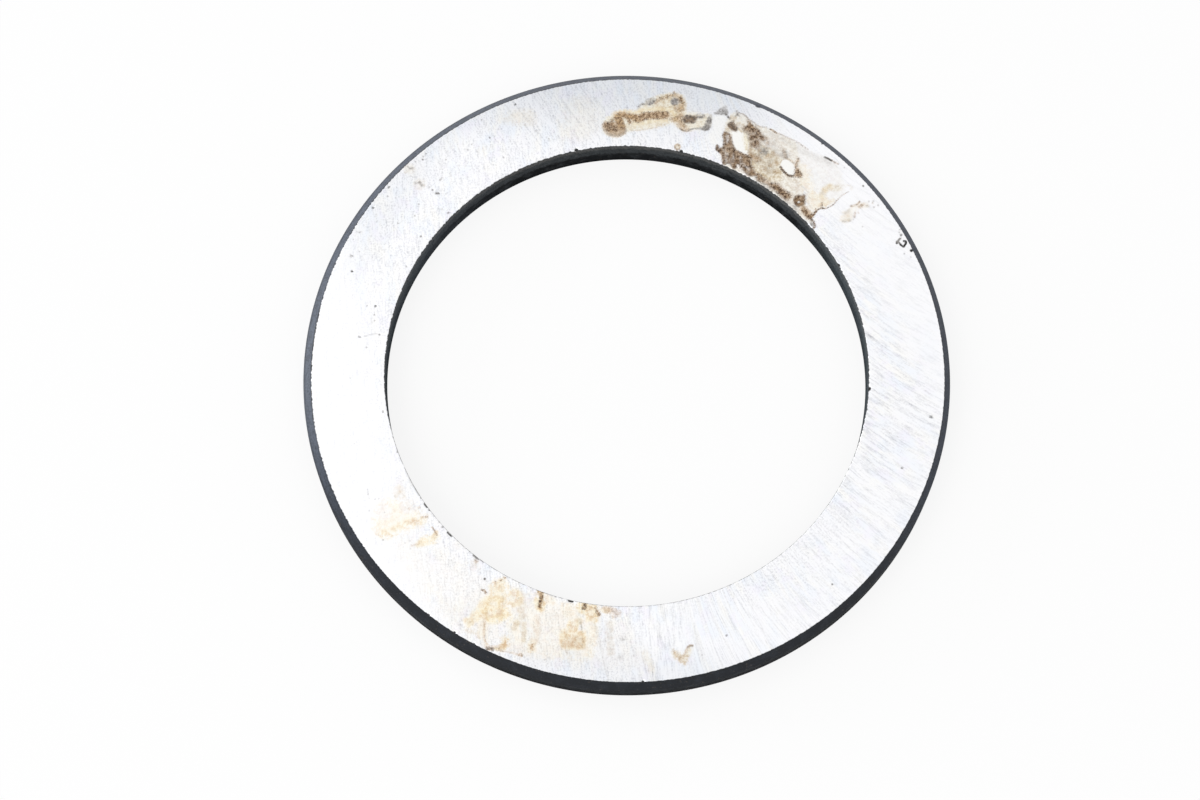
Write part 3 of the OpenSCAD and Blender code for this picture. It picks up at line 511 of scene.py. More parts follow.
# The rust, tan patches and dark drips at the front
FRONT_RUST = (
    patch(WASH, 0.1, 0.35, -24.5, -33, -22, -34, -20, -32.5, -18, -31.5, -14, -32.5, -8, -34, 0, -34.8,
        2, -37.5, 4, -40, 2, -42, -6, -42.2, -13, -41.2, -19, -38, -23, -36, soft=0.8),
    patch(RUST, 0.16, 0.1, -15.4, -30.9, -12, -32.2, -9, -33, -6, -33.6, -3, -34, -2.6, -36.5, -3.4, -40.6,
        -6, -41.2, -10, -41, -14.6, -40.2, -15, -37.6, -15.2, -34, soft=0.6),
    patch(RUST, 0.42, 0.05, -19.9, -35.9, -19.1, -34.5, -18.4, -33.3, -17.3, -32.5, -17.5, -31.3,
        -16.8, -30.5, -15.6, -30.2, -15.2, -31.4, -15, -33.2, -14.9, -34.6, -14.7, -35.9, -16.5, -36.3,
        -18.2, -36.3, soft=0.35),
    patch(RUST, 0.62, 0.16, -17.9, -33.4, -16.6, -33.1, -15.6, -33.5, -15.2, -34.6, -15.4, -35.7, -17, -36,
        -18.8, -36, -18.9, -35.1, -18, -34.6, soft=0.4),
    dots(RUST, 0.5, 0.5, 0.4, -17, -33.8, -16.2, -34.9, -18.4, -35.7, -15.6, -33.9, -17.4, -35.2,
        -16.6, -31.3, soft=0.25),
    dots(CRUST, 0.34, 0.66, 0.26, -16.9, -30.85, -16.1, -30.5, -15.6, -30.2, soft=0.15),
    streak(CRUST, 0.28, 0.75, 0.5, -18.65, -31.95, -18.25, -32.05, -18.1, -32.4),
    dots(PIT, 0.32, 0.9, 0.4, -18.3, -30.4),
    dots(CRUST, 0.22, 0.35, 0.2, -13.6, -32.9, -13.3, -33.4, -20, -36.4),
    patch(RUST, 0.5, 0.2, -14.7, -32.1, -13.9, -32, -13.2, -32.8, -13.4, -33.7, -14.1, -34, -14.6, -33.6,
        soft=0.3),
    dots(WASH, 0.34, 0.5, 0.6, -13.3, -33.9, -13.4, -34.6, -13, -35.5, soft=0.15),
    streak(RUST, 0.3, 0.4, 0.45, -14.3, -32.2, -14.25, -33.2, soft=0.15),
    streak(WASH, 0.35, 0.4, 0.4, -13.1, -33.8, -13.15, -34.8, -13.05, -35.6, soft=0.2),
    dots(WASH, 0.55, 0.6, 0.6, -13.75, -36.4, soft=0.2),
    dots(WASH, 0.5, 0.4, 0.6, -14, -37, -13, -35.4, -20, -36.4, soft=0.2),
    streak(WASH, 0.3, 0.46, 0.55, -12.75, -36.5, -12.75, -37.6, -12.7, -38.7, soft=0.2),
    streak(CRUST, 0.7, 0.12, 0, -10.9, -36, -10.8, -37.4, -10.9, -38.8, soft=0.3),
    streak(RUST, 0.4, 0.25, 0.3, -11.2, -35.6, -11, -37, -11.3, -38.6, soft=0.25),
    streak(RUST, 0.7, 0.4, 0.3, -11.55, -39.1, -11.6, -40, soft=0.25),
    streak(CRUST, 0.42, 0.66, 0.16, -11.55, -39.35, -11.6, -39.85, soft=0.15),
    patch(RUST, 0.45, 0.15, -20.8, -36.2, -20.2, -36, -19.7, -36.5, -20.2, -37),
    streak(WASH, 0.3, 0.35, 0.2, -20.6, -37.5, -19.6, -37.8, -18.5, -38.1, soft=0.2),
    streak(RUST, 0.8, 0.25, 0.1, -18.3, -36.6, -18.35, -37.6, -18.1, -38.7, -17.7, -39.5, soft=0.3),
    streak(CRUST, 0.24, 0.44, 0, -18.05, -36.4, -18.1, -38, -17.9, -39, -17.5, -39.6, soft=0.12),
    streak(WASH, 0.36, 0.36, 0.6, -20.6, -37.6, -19.8, -37.8, -19.2, -38, -18.7, -38.6, soft=0.2),
    patch(RUST, 0.55, 0.22, -16.6, -39.9, -15.8, -39.4, -15.7, -38.6, -15, -38.3, -14.8, -39.2,
        -15.1, -40.1, -15.9, -40.3),
    streak(RUST, 0.26, 0.6, 0.55, -15.9, -39.75, -15.4, -39.55, -15.1, -39.1, -15.15, -38.7, soft=0.12),
    streak(CRUST, 0.3, 0.34, 0.05, -17.6, -39.7, -16.8, -39.75, -16.1, -39.7, soft=0.15),
    streak(CRUST, 0.16, 0.4, 0.15, -15.9, -40.1, -15.3, -40.35, -14.4, -40.45, -13.4, -40.7, soft=0.12),
    patch(GREY, 0.6, 0.35, -18, -39.8, -17.3, -39.85, -16.5, -39.85, -16.3, -40.2, -17, -40.2, soft=0.12),
    dots(CRUST, 0.42, 0.66, 0.3, -13.2, -40.72, -12.95, -40.8, soft=0.15),
    streak(CRUST, 0.34, 0.66, 0.4, -17.6, -40, -17.2, -40.15, -16.85, -40.05, soft=0.12),
    dots(CRUST, 0.3, 0.6, 0.4, -15.95, -40.1, -15.7, -40.2, soft=0.12),
    patch(RUST, 0.6, 0.3, -11.2, -31.7, -10, -31.7, -9.95, -32.6, -10.1, -33.6, -10.4, -34.5, -11, -34.3,
        -11.3, -33.2, -11.1, -32.5),
    streak(CRUST, 0.34, 0.65, 0.35, -10.95, -31.95, -10.35, -32, soft=0.12),
    streak(CRUST, 0.52, 0.74, 0.3, -10.6, -32.3, -10.55, -33, -10.65, -33.6, -10.7, -34, soft=0.15),
    dots(CRUST, 0.3, 0.9, 0.7, -10.55, -32.7, -10.65, -33.3, -10.7, -33.8, soft=0.12),
    patch(RUST, 0.3, 0.2, -10, -32.1, -8.8, -32.6, -8.2, -33.3, -9.4, -33.5, -10, -33),
    patch(RUST, 0.3, 0.15, -7.6, -33.5, -6.4, -33.5, -6, -34.6, -6.6, -35.3, -7.3, -34.9, soft=0.3),
    patch(RUST, 0.6, 0.2, -5.6, -33.2, -3, -33.5, -2.8, -34.4, -3.1, -35.8, -4.1, -36, -4.3, -34.9,
        -5.3, -34.4),
    streak(RUST, 0.5, 0.55, 0.4, -4, -34.5, -3.6, -35.4, soft=0.25),
    streak(CRUST, 0.24, 0.75, 0.5, -4.9, -33.35, -4.5, -33.3, soft=0.12),
    streak(CRUST, 0.32, 0.9, 0.8, -4.6, -33.4, -4.65, -33.8, -4.9, -34.1, -4.45, -34.05, soft=0.12),
    dots(CRUST, 0.4, 0.85, 0.5, -3.2, -33.95, soft=0.15),
    streak(CRUST, 0.2, 0.6, 0.3, -3.2, -33.95, -2.95, -34.4, soft=0.12),
    streak(CRUST, 0.4, 0.82, 0.45, -2.92, -34.5, -2.68, -34.92, soft=0.15),
    patch(RUST, 0.4, 0.2, -2.7, -34, -1.8, -33.9, -1.2, -34.2, -1.6, -34.6, -2.4, -34.6),
    patch(CRUST, 0.46, 0, -2.2, -33.8, -1.3, -33.7, -0.2, -34.1, 0.3, -34.4, 0.1, -34.9, -0.6, -35.2,
        -0.9, -34.7, -1.7, -34.5),
    dots(CRUST, 0.4, 0.5, 0.1, -1.8, -34.25, soft=0.15),
    dots(CRUST, 0.5, 0.36, 0.05, -0.6, -34.6, 0.1, -34.5, -3.9, -34, -0.75, -35.1, soft=0.25),
    patch(RUST, 0.64, 0.14, -6.6, -36.1, -6.1, -35.8, -5.7, -36.1, -5.7, -36.8, -5.9, -37.4, -6.4, -37.3,
        -6.7, -36.7, soft=0.3),
    streak(RUST, 0.4, 0.3, 0.1, -6.1, -36, -5.6, -35.4, -5.1, -35.8, soft=0.25),
    dots(WASH, 0.5, 0.5, 0.8, -5.45, -35.9, soft=0.2),
    dots(RUST, 0.7, 0.5, 0.4, -6.15, -36.6, soft=0.25),
    patch(RUST, 0.56, 0.3, -7.5, -37.4, -6.4, -37.3, -5, -37.5, -3.5, -37.4, -3.4, -38.6, -4.4, -39.3,
        -7.3, -39.4, soft=0.35),
    patch(WASH, 0.3, 0.3, -7.3, -38.2, -6.8, -37.8, -6, -38, -4.9, -37.9, -4.7, -38.3, -4.7, -39.1,
        -5.2, -39.2, -6.2, -39.1, -7.1, -39.2, -7.3, -39, soft=0.5),
    patch(RUST, 0.56, 0.32, -7.1, -39.1, -7.25, -38.2, -6.9, -37.7, -6, -37.5, -5.2, -37.6, -4.6, -37.9,
        -4.5, -38.5, -4.8, -39.2, -5.6, -39.3, -6.4, -39.1, soft=0.5),
    dots(CRUST, 0.9, 0.14, 0.06, -6.4, -38.7, -5.6, -38.3, soft=0.4),
    dots(CRUST, 0.34, 0.42, 0.12, -7.3, -39, -7.1, -37.5, -7, -38.2, -4.75, -38.55, -4.8, -39.2,
        -5.9, -38.9, soft=0.2),
    dots(RUST, 0.7, 0.5, 0.5, -5.3, -38.4, -6.4, -38.9, -7.1, -39.1, -6.1, -38.2, -5.5, -39, soft=0.3),
    streak(WASH, 0.26, 0.25, 0.4, -7.3, -38.4, -7.35, -39.15, -6.2, -39.35, -5.1, -39.45, -4.65, -39,
        -4.7, -38.3, soft=0.2),
    streak(CRUST, 0.26, 0.42, 0.08, -4.9, -38.3, -4.65, -38.8, -4.75, -39.3, -5.3, -39.35, soft=0.15),
    streak(CRUST, 0.3, 0.22, 0, -5.6, -39.2, -6.4, -39.25, -7.3, -39.3, soft=0.2),
    streak(RUST, 0.9, 0.24, 0.1, -3.8, -36.6, -3.6, -38.4, -3.8, -40.4, soft=0.4),
    streak(WASH, 0.6, 0.3, 0.5, -1.2, -36.2, -1.2, -37.6, -1, -38.8, -0.9, -40, soft=0.3),
    dots(GREY, 0.8, 0.3, 0.1, 0.7, -38.1, 0.4, -40.6, soft=0.3),
    streak(GREY, 0.3, 0.16, 0, -3, -36.6, -2.5, -38.2, -2, -40.2, soft=0.15),
    streak(WASH, 0.9, 0.3, 0.2, 3.9, -40.2, 4.5, -42.2, soft=0.3),
    dots(PIT, 0.22, 0.35, 0.1, 0.7, -38.2, 0.3, -40.6, 2.2, -40.4, 1.5, -36, 1.7, -38.5, -9.7, -41.3,
        -11, -42.2, 11.3, -40),
    streak(CRUST, 0.26, 0.42, 0.2, 7.6, -39.6, 7.8, -40.2, 8.2, -40.4, 8.8, -40.3, 9.1, -39.7, 9.3, -39.1,
        9.6, -38.8, 10, -38.7, soft=0.12),
    dots(CRUST, 0.44, 0.34, 0.12, 7.9, -39.9, 8.4, -40.75, soft=0.2),
    streak(GREY, 0.26, 0.75, 0.6, 9.45, -38.9, 9.75, -38.75, 10.05, -38.8, soft=0.12),
    patch(WASH, 0.7, 0.35, 7.4, -39.4, 8.2, -39.8, 8.9, -39.9, 9.6, -38.9, 10, -39.1, 9.6, -40.2,
        9.2, -41.4, 8.3, -41, 7.5, -40.4, soft=0.3),
)

# The black mark by the rim at the right, the pits that lie alone and the long scratches
PITS = (
    streak(PIT, 0.34, 1, 1, 37.64, 19.98, 37.68, 20.15, soft=0.08),
    streak(PIT, 0.28, 0.95, 0.75, 37.78, 20.28, 37.92, 20.5),
    streak(PIT, 0.24, 0.7, 0.4, 37.95, 20.55, 38.2, 20.7),
    streak(PIT, 0.28, 0.72, 0.3, 37.88, 20.22, 37.96, 20.02, 38.12, 19.86),
    streak(PIT, 0.28, 1, 1, 38.18, 19.7, 38.4, 19.56, 38.6, 19.44, 38.76, 19.7, 38.95, 20.05, 38.9, 20.3,
        38.6, 20.3, soft=0.07),
    dots(PIT, 0.3, 0.9, 0.7, 38.25, 21.22, soft=0.12),
    dots(PIT, 0.22, 0.4, 0.2, 38, 21.6, 38.05, 22, soft=0.12),
    dots(PIT, 0.22, 0.5, 0.5, 38.7, 18.4, 39.6, 17.9),
    dots(PIT, 0.36, 1, 0.9, -36.5, 23, -35.3, 8.3, -34.4, 26.2, -17, 39.5),
    dots(PIT, 0.34, 0.8, 0.6, 38.3, -13),
    dots(PIT, 0.34, 1, 0.9, -38.9, 13.38),
    streak(PIT, 0.3, 0.85, 0.6, -39.22, 15.72, -39, 15.6),
    dots(PIT, 0.24, 0.42, 0.25, -38.55, 19.3, -38.2, 19.25, -37.9, 19.3, -39, 18.15, -37.65, 20.3,
        -39, 20.1, -38, 16.4),
    dots(PIT, 0.22, 0.7, 0.4, -36.5, 8.3),
    dots(PIT, 0.3, 0.85, 0.5, -28.2, 26, -25.8, 22.6, -29.5, 18.9, -20.4, 34.3, -34.5, 4.1, -33.4, -7.1,
        14.6, -37.2, 28.8, -29.7, 32.9, 28.5, -29.8, 30.6),
    dots(PIT, 0.28, 0.5, 0.3, -34.5, 24.8, -26.2, 25.5, -26.7, 23.1, -30.5, 22, -35.8, 21, -31.3, 14.3,
        -26.5, 30.7, -27.2, 27.5, -27, 27.85, -23.5, 32.3, -19.3, 35.6, -18.3, 31.3, -13.9, 35.5, -35.4, 7,
        -35.3, 6.1, -36.2, 2.2, -28.7, 26.4, -29.75, 31.1, -29.4, 31.5, -30.8, 30.3, -22.9, 33.2, -21.7, 37,
        -32.8, 20.8, -30, 23.8, -31.4, 28),
    dots(PIT, 0.2, 0.4, 0.2, 32.8, 22.3, 30.2, 31.2, -32.7, 2.2, -38.2, -2.4, -37.1, -11.8, -13.4, 38),
    streak(PIT, 0.32, 0.75, 0.4, -27.7, 25.5, -27.3, 25.5),
    streak(GREY, 0.4, 0.75, 0.6, -30.15, 27.1, -29.9, 26.9, -29.7, 26.65, soft=0.15),
    dots(GREY, 0.4, 0.5, 0.5, -30.7, 26.95, -31.5, 29.2, soft=0.15),
    dots(GREY, 0.24, 0.7, 0.7, -31.9, 29.5, -31.55, 29.25, -31.1, 29.3, soft=0.12),
    streak(PIT, 0.16, 0.6, 0.4, -12, 34, -12, 34.4),
    streak(PIT, 0.24, 0.85, 0.6, -37.4, 3.75, -37.15, 3.7),
    streak(PIT, 0.14, 0.4, 0.2, -36.6, 3.8, -35.8, 4.05, -34.9, 4.25),
    streak(PIT, 0.3, 1, 0.9, 42.15, -5.5, 42.5, -5.55),
    streak(GREY, 0.16, 0.4, 0.3, -7.9, -37, -7.6, -37.6),
    streak(GREY, 0.18, 0.6, 0.4, -5.2, -35.9, -5, -36.6, -4.85, -37.4),
    streak(GREY, 0.16, 0.35, 0.3, -7, -40, -6.7, -40.5),
    streak(GREY, 0.16, 0.25, 0.2, -3.3, -36, -1.3, -43.4),
    streak(GREY, 0.14, 0.4, 0.3, 34.2, -6.8, 38.5, -9),
    streak(GREY, 0.14, 0.34, 0.3, 33.5, -1.6, 36.3, -3),
    streak(GREY, 0.14, 0.34, 0.3, 40.5, -1, 42.5, -2.5),
    streak(GREY, 0.12, 0.3, 0.2, 20, -34.5, 20.8, -35.8, 21.5, -37.3, soft=0.06),
    streak(GREY, 0.12, 0.26, 0.2, 19.3, -36, 20.2, -38.8, soft=0.06),
    dots(WASH, 1.6, 0.3, 0.4, -30.1, 26.8, -31.7, 29.1, soft=0.4),
    patch(WASH, 0.24, 0.2, -19.3, 37, -17.5, 38.4, -15, 38.8, -14, 38, -14.2, 36.4, -16, 36.3, -18, 36.5,
        soft=0.6),
    dots(RUST, 1.4, 0.1, 0.1, -16.6, 37.5, -21.2, 32.4, soft=0.5),
    patch(WASH, 0.15, 0.1, -10.5, 35, -10, 40, -7, 41.2, -5.2, 40, -5, 36, -7.5, 34.2, soft=0.8),
)

# Black chips in both edges of the upper face: the places, then how wide each is
RIM_CHIPS = (
    dots(PIT, 0.45, 1, 1, 39.7, 18.95, -22.1, -37.95, -19.4, -39.5, -25.7, -35.65, 3.5, -43.9, soft=0.08),
    dots(PIT, 0.25, 1, 1, 4.8, 43.85, 27, 34.8, -31.6, -30.6, soft=0.08),
    streak(PIT, 0.22, 1, 1, 17.55, 40.35, 17.95, 40.2, soft=0.08),
    dots(PIT, 0.3, 0.5, 0.4, -17.6, -40.1, -16.95, -40, -16.75, -40.25, soft=0.12),
    streak(PIT, 0.3, 0.95, 0.9, -43.9, 2.2, -43.9, 2.6, soft=0.08),
    streak(PIT, 0.3, 0.95, 0.9, -43.8, -3, -43.8, -3.5, soft=0.08),
)
BORE_CHIPS = (
    dots(PIT, 0.55, 1, 1, 6.95, 33, 29.45, 16.35, 33.75, -1.7, -8, 32.75, soft=0.08),
    dots(PIT, 0.28, 0.8, 0.5, -31.1, -12.8, -27.5, -19.25, -26.3, -20.95, -30.75, 13.45, soft=0.08),
    dots(PIT, 0.3, 0.6, 0.3, -8.6, -32.5, -24.4, -23.3),
    streak(PIT, 0.24, 1, 0.8, -27, -20.1, -26.65, -20.55, soft=0.08),
    streak(PIT, 0.24, 1, 0.8, -23.65, -24.05, -23.1, -24.55, soft=0.08),
    streak(PIT, 0.3, 0.8, 0.4, -19.95, -27.15, -19.3, -27.6),
    streak(PIT, 0.2, 0.5, 0.3, -18.95, -27.75, -18.6, -28.05),
    streak(PIT, 0.28, 1, 0.8, -6.8, -33.08, -6.3, -33.16, soft=0.08),
    streak(PIT, 0.16, 0.5, 0.2, -29.75, -15.5, -28.8, -17.3, -27.8, -18.9),
)


@dataclass(frozen=True)
class WearMap:
    """Every mark of the upper face, in the order in which they were laid down. Lengths in millimetres.

    Nudge moves all of them together. Chip border is how far inside a chip its full depth comes in.
    """

    marks: tuple[Mark, ...] = (
        TRAIL + SPILL + TIDE_LINES + LEFT_RUST + FRONT_RUST + PITS + RIM_CHIPS + BORE_CHIPS
    )
    chips: tuple[Mark, ...] = RIM_CHIPS + BORE_CHIPS
    reach_limit: float = 3.0
    depth_blend: float = 0.2
    spare_margin: float = 0.3
    nudge: tuple[float, float] = (-0.08, 0.04)
    chip_border: tuple[float, float] = (-0.1, 0.15)

    def lay_down(self, x: Array, y: Array) -> dict[Residue, Array]:
        """Works out each residue at each place, as a painter lays one mark over another.

        Args:
            x, y: places on the face in millimetres, as flat arrays.

        Returns:
            Rows of reach, depth and shade for each residue. Reach is the greatest of the marks'
            millimetres inside divided by their softness. Depth and shade move to a later mark's own
            over the last part of a millimetre at its border. A bare mark takes the others' reach away.
        """
        x, y = x - self.nudge[0], y - self.nudge[1]
        fields = {kind: np.zeros((x.size, 3)) for kind in Residue}
        for rows in fields.values():
            rows[:, 0] = -self.reach_limit
        for mark in self.marks:
            corners = np.array(mark.points).reshape(-1, 2)
            margin = mark.width / 2 + mark.soft * self.reach_limit + self.depth_blend + self.spare_margin
            low, high = corners.min(axis=0) - margin, corners.max(axis=0) + margin
            near = np.flatnonzero((x > low[0]) & (x < high[0]) & (y > low[1]) & (y < high[1]))
            if not near.size:
                continue
            inside = mark.inside(x[near], y[near])
            reach = np.clip(inside / mark.soft, -self.reach_limit, self.reach_limit)
            if mark.residue is Residue.BARE:
                for kind in (Residue.WASH, Residue.GREY, Residue.RUST, Residue.CRUST):
                    fields[kind][near, 0] = np.minimum(fields[kind][near, 0], -reach)
            rows = fields[mark.residue]
            rows[near, 0] = np.maximum(rows[near, 0], reach)
            cover = smooth_step(-self.depth_blend - mark.soft, 0.0, inside)[:, None]
            new = np.array([[mark.depth, mark.shade]])
            rows[near, 1:] += (new - rows[near, 1:]) * cover
        return fields

    def chip_depth(self, x: Array, y: Array) -> Array:
        """How deep the edge is chipped at each place.

        Args:
            x, y: places in millimetres, as flat arrays.

        Returns:
            0 to 1 for each place: the greatest of the chips' depths, each eased in over its border.
        """
        x, y = x - self.nudge[0], y - self.nudge[1]
        deep = np.zeros(x.size)
        for mark in self.chips:
            deep = np.maximum(deep, mark.depth * smooth_step(*self.chip_border, mark.inside(x, y)))
        return deep


class Wiring:
    """Places nodes in one shader tree and joins them. Most methods return the socket with their result."""

    def __init__(self, tree: bpy.types.NodeTree) -> None:
        """Keeps the tree to work in."""
        self.tree = tree

    @classmethod
    def cleared(cls, owner: bpy.types.Material | bpy.types.World) -> "Wiring":
        """The wiring of a new material or world, whose first nodes are taken out."""
        owner.use_nodes = True
        owner.node_tree.nodes.clear()
        return cls(owner.node_tree)

    def feed(self, socket: Socket, value: Feed) -> None:
        """Joins a socket to an input, or sets the input's own value.

        Args:
            socket: the input.
            value: the socket to join to it, or a plain value.
        """
        if isinstance(value, bpy.types.NodeSocket):
            self.tree.links.new(value, socket)
        else:
            socket.default_value = value

    def node(self, kind: str, feeds: Feeds | None = None, **settings: object) -> bpy.types.Node:
        """A new node.

        Args:
            kind: the node's type.
            feeds: a socket or value for each input to be fed, by the input's number or name.
            settings: the node's own settings, such as operation.

        Returns:
            The node.
        """
        made = self.tree.nodes.new(kind)
        for name, value in settings.items():
            setattr(made, name, value)
        for title, value in (feeds or {}).items():
            self.feed(made.inputs[title], value)
        return made

    def put_on(self, shader: bpy.types.Node, output: str = "ShaderNodeOutputMaterial") -> None:
        """Sends a shader to the output of the tree."""
        self.node(output, {"Surface": shader.outputs[0]})

    def maths(self, operation: str, *values: Feed, clamp: bool = False) -> Socket:
        """One sum on numbers."""
        feeds = dict(enumerate(values))
        return self.node("ShaderNodeMath", feeds, operation=operation, use_clamp=clamp).outputs[0]

    def times(self, first: Feed, second: Feed) -> Socket:
        """Two numbers multiplied."""
        return self.maths("MULTIPLY", first, second)

    def gather(self, operation: str, values: Iterable[Feed]) -> Feed:
        """Takes numbers together, one after another.

        Args:
            operation: the sum that takes two of them together.
            values: one or more numbers.

        Returns:
            The last result, or the number itself where there is only one.
        """
        total, *rest = values
        for value in rest:
            total = self.maths(operation, total, value)
        return total

    def add_up(self, *values: Feed) -> Feed:
        """The total of some numbers."""
        return self.gather("ADD", values)

    def greatest(self, *values: Feed) -> Feed:
        """The greatest of some numbers."""
        return self.gather("MAXIMUM", values)

    def towards(self, x: Socket, y: Socket, right: float, back: float) -> Feed:
        """Right times x plus back times y."""
        return self.add_up(*(self.times(part, share) for part, share in ((x, right), (y, back)) if share))

    def split(self, vector: Socket) -> tuple[Socket, Socket, Socket]:
        """The three parts of a vector."""
        parts = self.node("ShaderNodeSeparateXYZ", {0: vector}).outputs
        return parts[0], parts[1], parts[2]

    def join(self, x: Feed, y: Feed, z: Feed) -> Socket:
        """A vector of three numbers."""
        return self.node("ShaderNodeCombineXYZ", {0: x, 1: y, 2: z}).outputs[0]

    def radius(self, x: Feed, y: Feed) -> Socket:
        """The square root of x squared plus y squared."""
        made = self.node("ShaderNodeVectorMath", {0: self.join(x, y, 0.0)}, operation="LENGTH")
        return made.outputs["Value"]

    def noise(self, vector: Socket, scale: Feed, detail: float = 2.0, rough: float = 0.5) -> Socket:
        """Soft noise of 0 to 1 about 0.5."""
        feeds = {"Vector": vector, "Scale": scale, "Detail": detail, "Roughness": rough}
        return self.node("ShaderNodeTexNoise", feeds).outputs[0]

    def spread(self, noise: Socket, width: float) -> Socket:
        """Noise of 0 to 1 spread over a width about zero."""
        return self.maths("MULTIPLY_ADD", noise, width, -width / 2)

    def ease(self, value: Feed, low: Feed, high: Feed, start: Feed = 0.0, end: Feed = 1.0) -> Socket:
        """A smooth step from start at low to end at high."""
        feeds = dict(enumerate((value, low, high, start, end)))
        return self.node("ShaderNodeMapRange", feeds, interpolation_type="SMOOTHSTEP").outputs[0]

    def blend(self, share: Feed, first: Feed, second: Feed) -> Socket:
        """A colour between two, by a share of the second."""
        return self.node("ShaderNodeMix", {0: share, 6: first, 7: second}, data_type="RGBA").outputs[2]

    def between(self, share: Feed, first: Feed, second: Feed) -> Socket:
        """A number between two, by a share of the second."""
        return self.node("ShaderNodeMix", {0: share, 2: first, 3: second}, data_type="FLOAT").outputs[0]

    def field(self, name: str) -> tuple[Socket, Socket, Socket]:
        """The three parts of a mesh attribute."""
        return self.split(self.node("ShaderNodeAttribute", attribute_name=name).outputs["Vector"])

    def millimetres(self) -> Socket:
        """The place on the piece in millimetres, from Object coordinates."""
        feeds = {0: self.node("ShaderNodeTexCoord").outputs["Object"], "Scale": 1 / MM}
        return self.node("ShaderNodeVectorMath", feeds, operation="SCALE").outputs[0]

    def bumped(self, height: Feed, strength: float) -> Socket:
        """The normal tipped by a height, where 1 stands for the bump unit in millimetres."""
        feeds = {"Strength": strength, "Distance": BUMP_UNIT * MM, "Height": height}
        return self.node("ShaderNodeBump", feeds).outputs[0]

    def place(self, group: bpy.types.NodeTree, **values: Feed) -> bpy.types.bpy_prop_collection:
        """Places a node group with values for its inputs, a space in a name given as an underline."""
        feeds = {name.replace("_", " "): value for name, value in values.items()}
        return self.node("ShaderNodeGroup", feeds, node_tree=group).outputs


class Fade(NamedTuple):
    """How strongly something comes in across the ring, by the way in one direction.

    The way is right times x plus back times y, in millimetres. The strength eases from start where the
    way is low to end where it is high.
    """

    right: float
    back: float
    low: float
    high: float
    start: float = 0.0
    end: float = 1.0


class Effect:
    """A node group in the making: named inputs and outputs round a tree of nodes."""

    def __init__(self, name: str, inputs: tuple[str, ...], outputs: tuple[str, ...]) -> None:
        """Makes the group with its sockets.

        Args:
            name: the group's name.
            inputs, outputs: the sockets' names. One named Vector is a vector, and the rest are numbers.
        """
        self.group = bpy.data.node_groups.new(name, "ShaderNodeTree")
        for way, titles in (("INPUT", inputs), ("OUTPUT", outputs)):
            for title in titles:
                kind = "NodeSocketVector" if title == "Vector" else "NodeSocketFloat"
                self.group.interface.new_socket(title, in_out=way, socket_type=kind)
        self.wire = Wiring(self.group)
        self.given = self.wire.node("NodeGroupInput").outputs
        self.result = self.wire.node("NodeGroupOutput").inputs

    def put_out(self, title: str, value: Feed) -> None:
        """Sends a value to one of the group's outputs."""
        self.wire.feed(self.result[title], value)


@dataclass(frozen=True)
class Effects:
    """The shader effects that more than one finish or residue uses."""

    grinding: bpy.types.NodeTree
    ragged: bpy.types.NodeTree
    border: bpy.types.NodeTree
    specks: bpy.types.NodeTree


class Site:
    """A material in the making: its wiring, the shared effects, and the place in millimetres."""

    def __init__(self, name: str, effects: Effects) -> None:
        """Makes the material and reads the place from Object coordinates."""
        self.material = bpy.data.materials.new(name)
        self.wire = Wiring.cleared(self.material)
        self.effects = effects
        self.place = self.wire.millimetres()
        self.x, self.y, self.z = self.wire.split(self.place)

    def mask(self, group: bpy.types.NodeTree, **values: Feed) -> Socket:
        """The mask of an effect placed here."""
        return self.wire.place(group, Vector=self.place, **values)["Mask"]

    def noise(self, settings: Setting) -> Socket:
        """Noise at the place, by its scale, detail and roughness."""
        return self.wire.noise(self.place, *settings)

    def strengths(self, *fades: Fade) -> list[Socket]:
        """How strong each of some fades is at the place."""
        wire = self.wire
        return [wire.ease(wire.towards(self.x, self.y, right, back), *ease) for right, back, *ease in fades]

    def finish(self, bump: float, height: Feed, **values: Feed) -> bpy.types.Material:
        """Puts one Principled BSDF on the material.

        Args:
            bump: how strongly the height tips the normal, 0 to 1.
            height: the bump height.
            values: values for its inputs, a space in a name given as an underline.

        Returns:
            The finished material.
        """
        feeds = {name.replace("_", " "): value for name, value in values.items()}
        feeds["Normal"] = self.wire.bumped(height, bump)
        self.wire.put_on(self.wire.node("ShaderNodeBsdfPrincipled", feeds))
        return self.material


@dataclass(frozen=True)
class LinePattern:
    """One set of lines: how often they change per millimetre across and along them, and the detail."""

    title: str
    pitch: float
    length: float
    detail: float
    rough: float = 0.62

    def draw(self, wire: Wiring, across: Feed, along: Feed, level: Feed) -> Socket:
        """Noise drawn out into lines, 0 to 1 about 0.5. Level keeps it apart from other patterns."""
        spot = wire.join(wire.times(across, self.pitch), wire.times(along, self.length), level)
        return wire.noise(spot, 1.0, self.detail, self.rough)


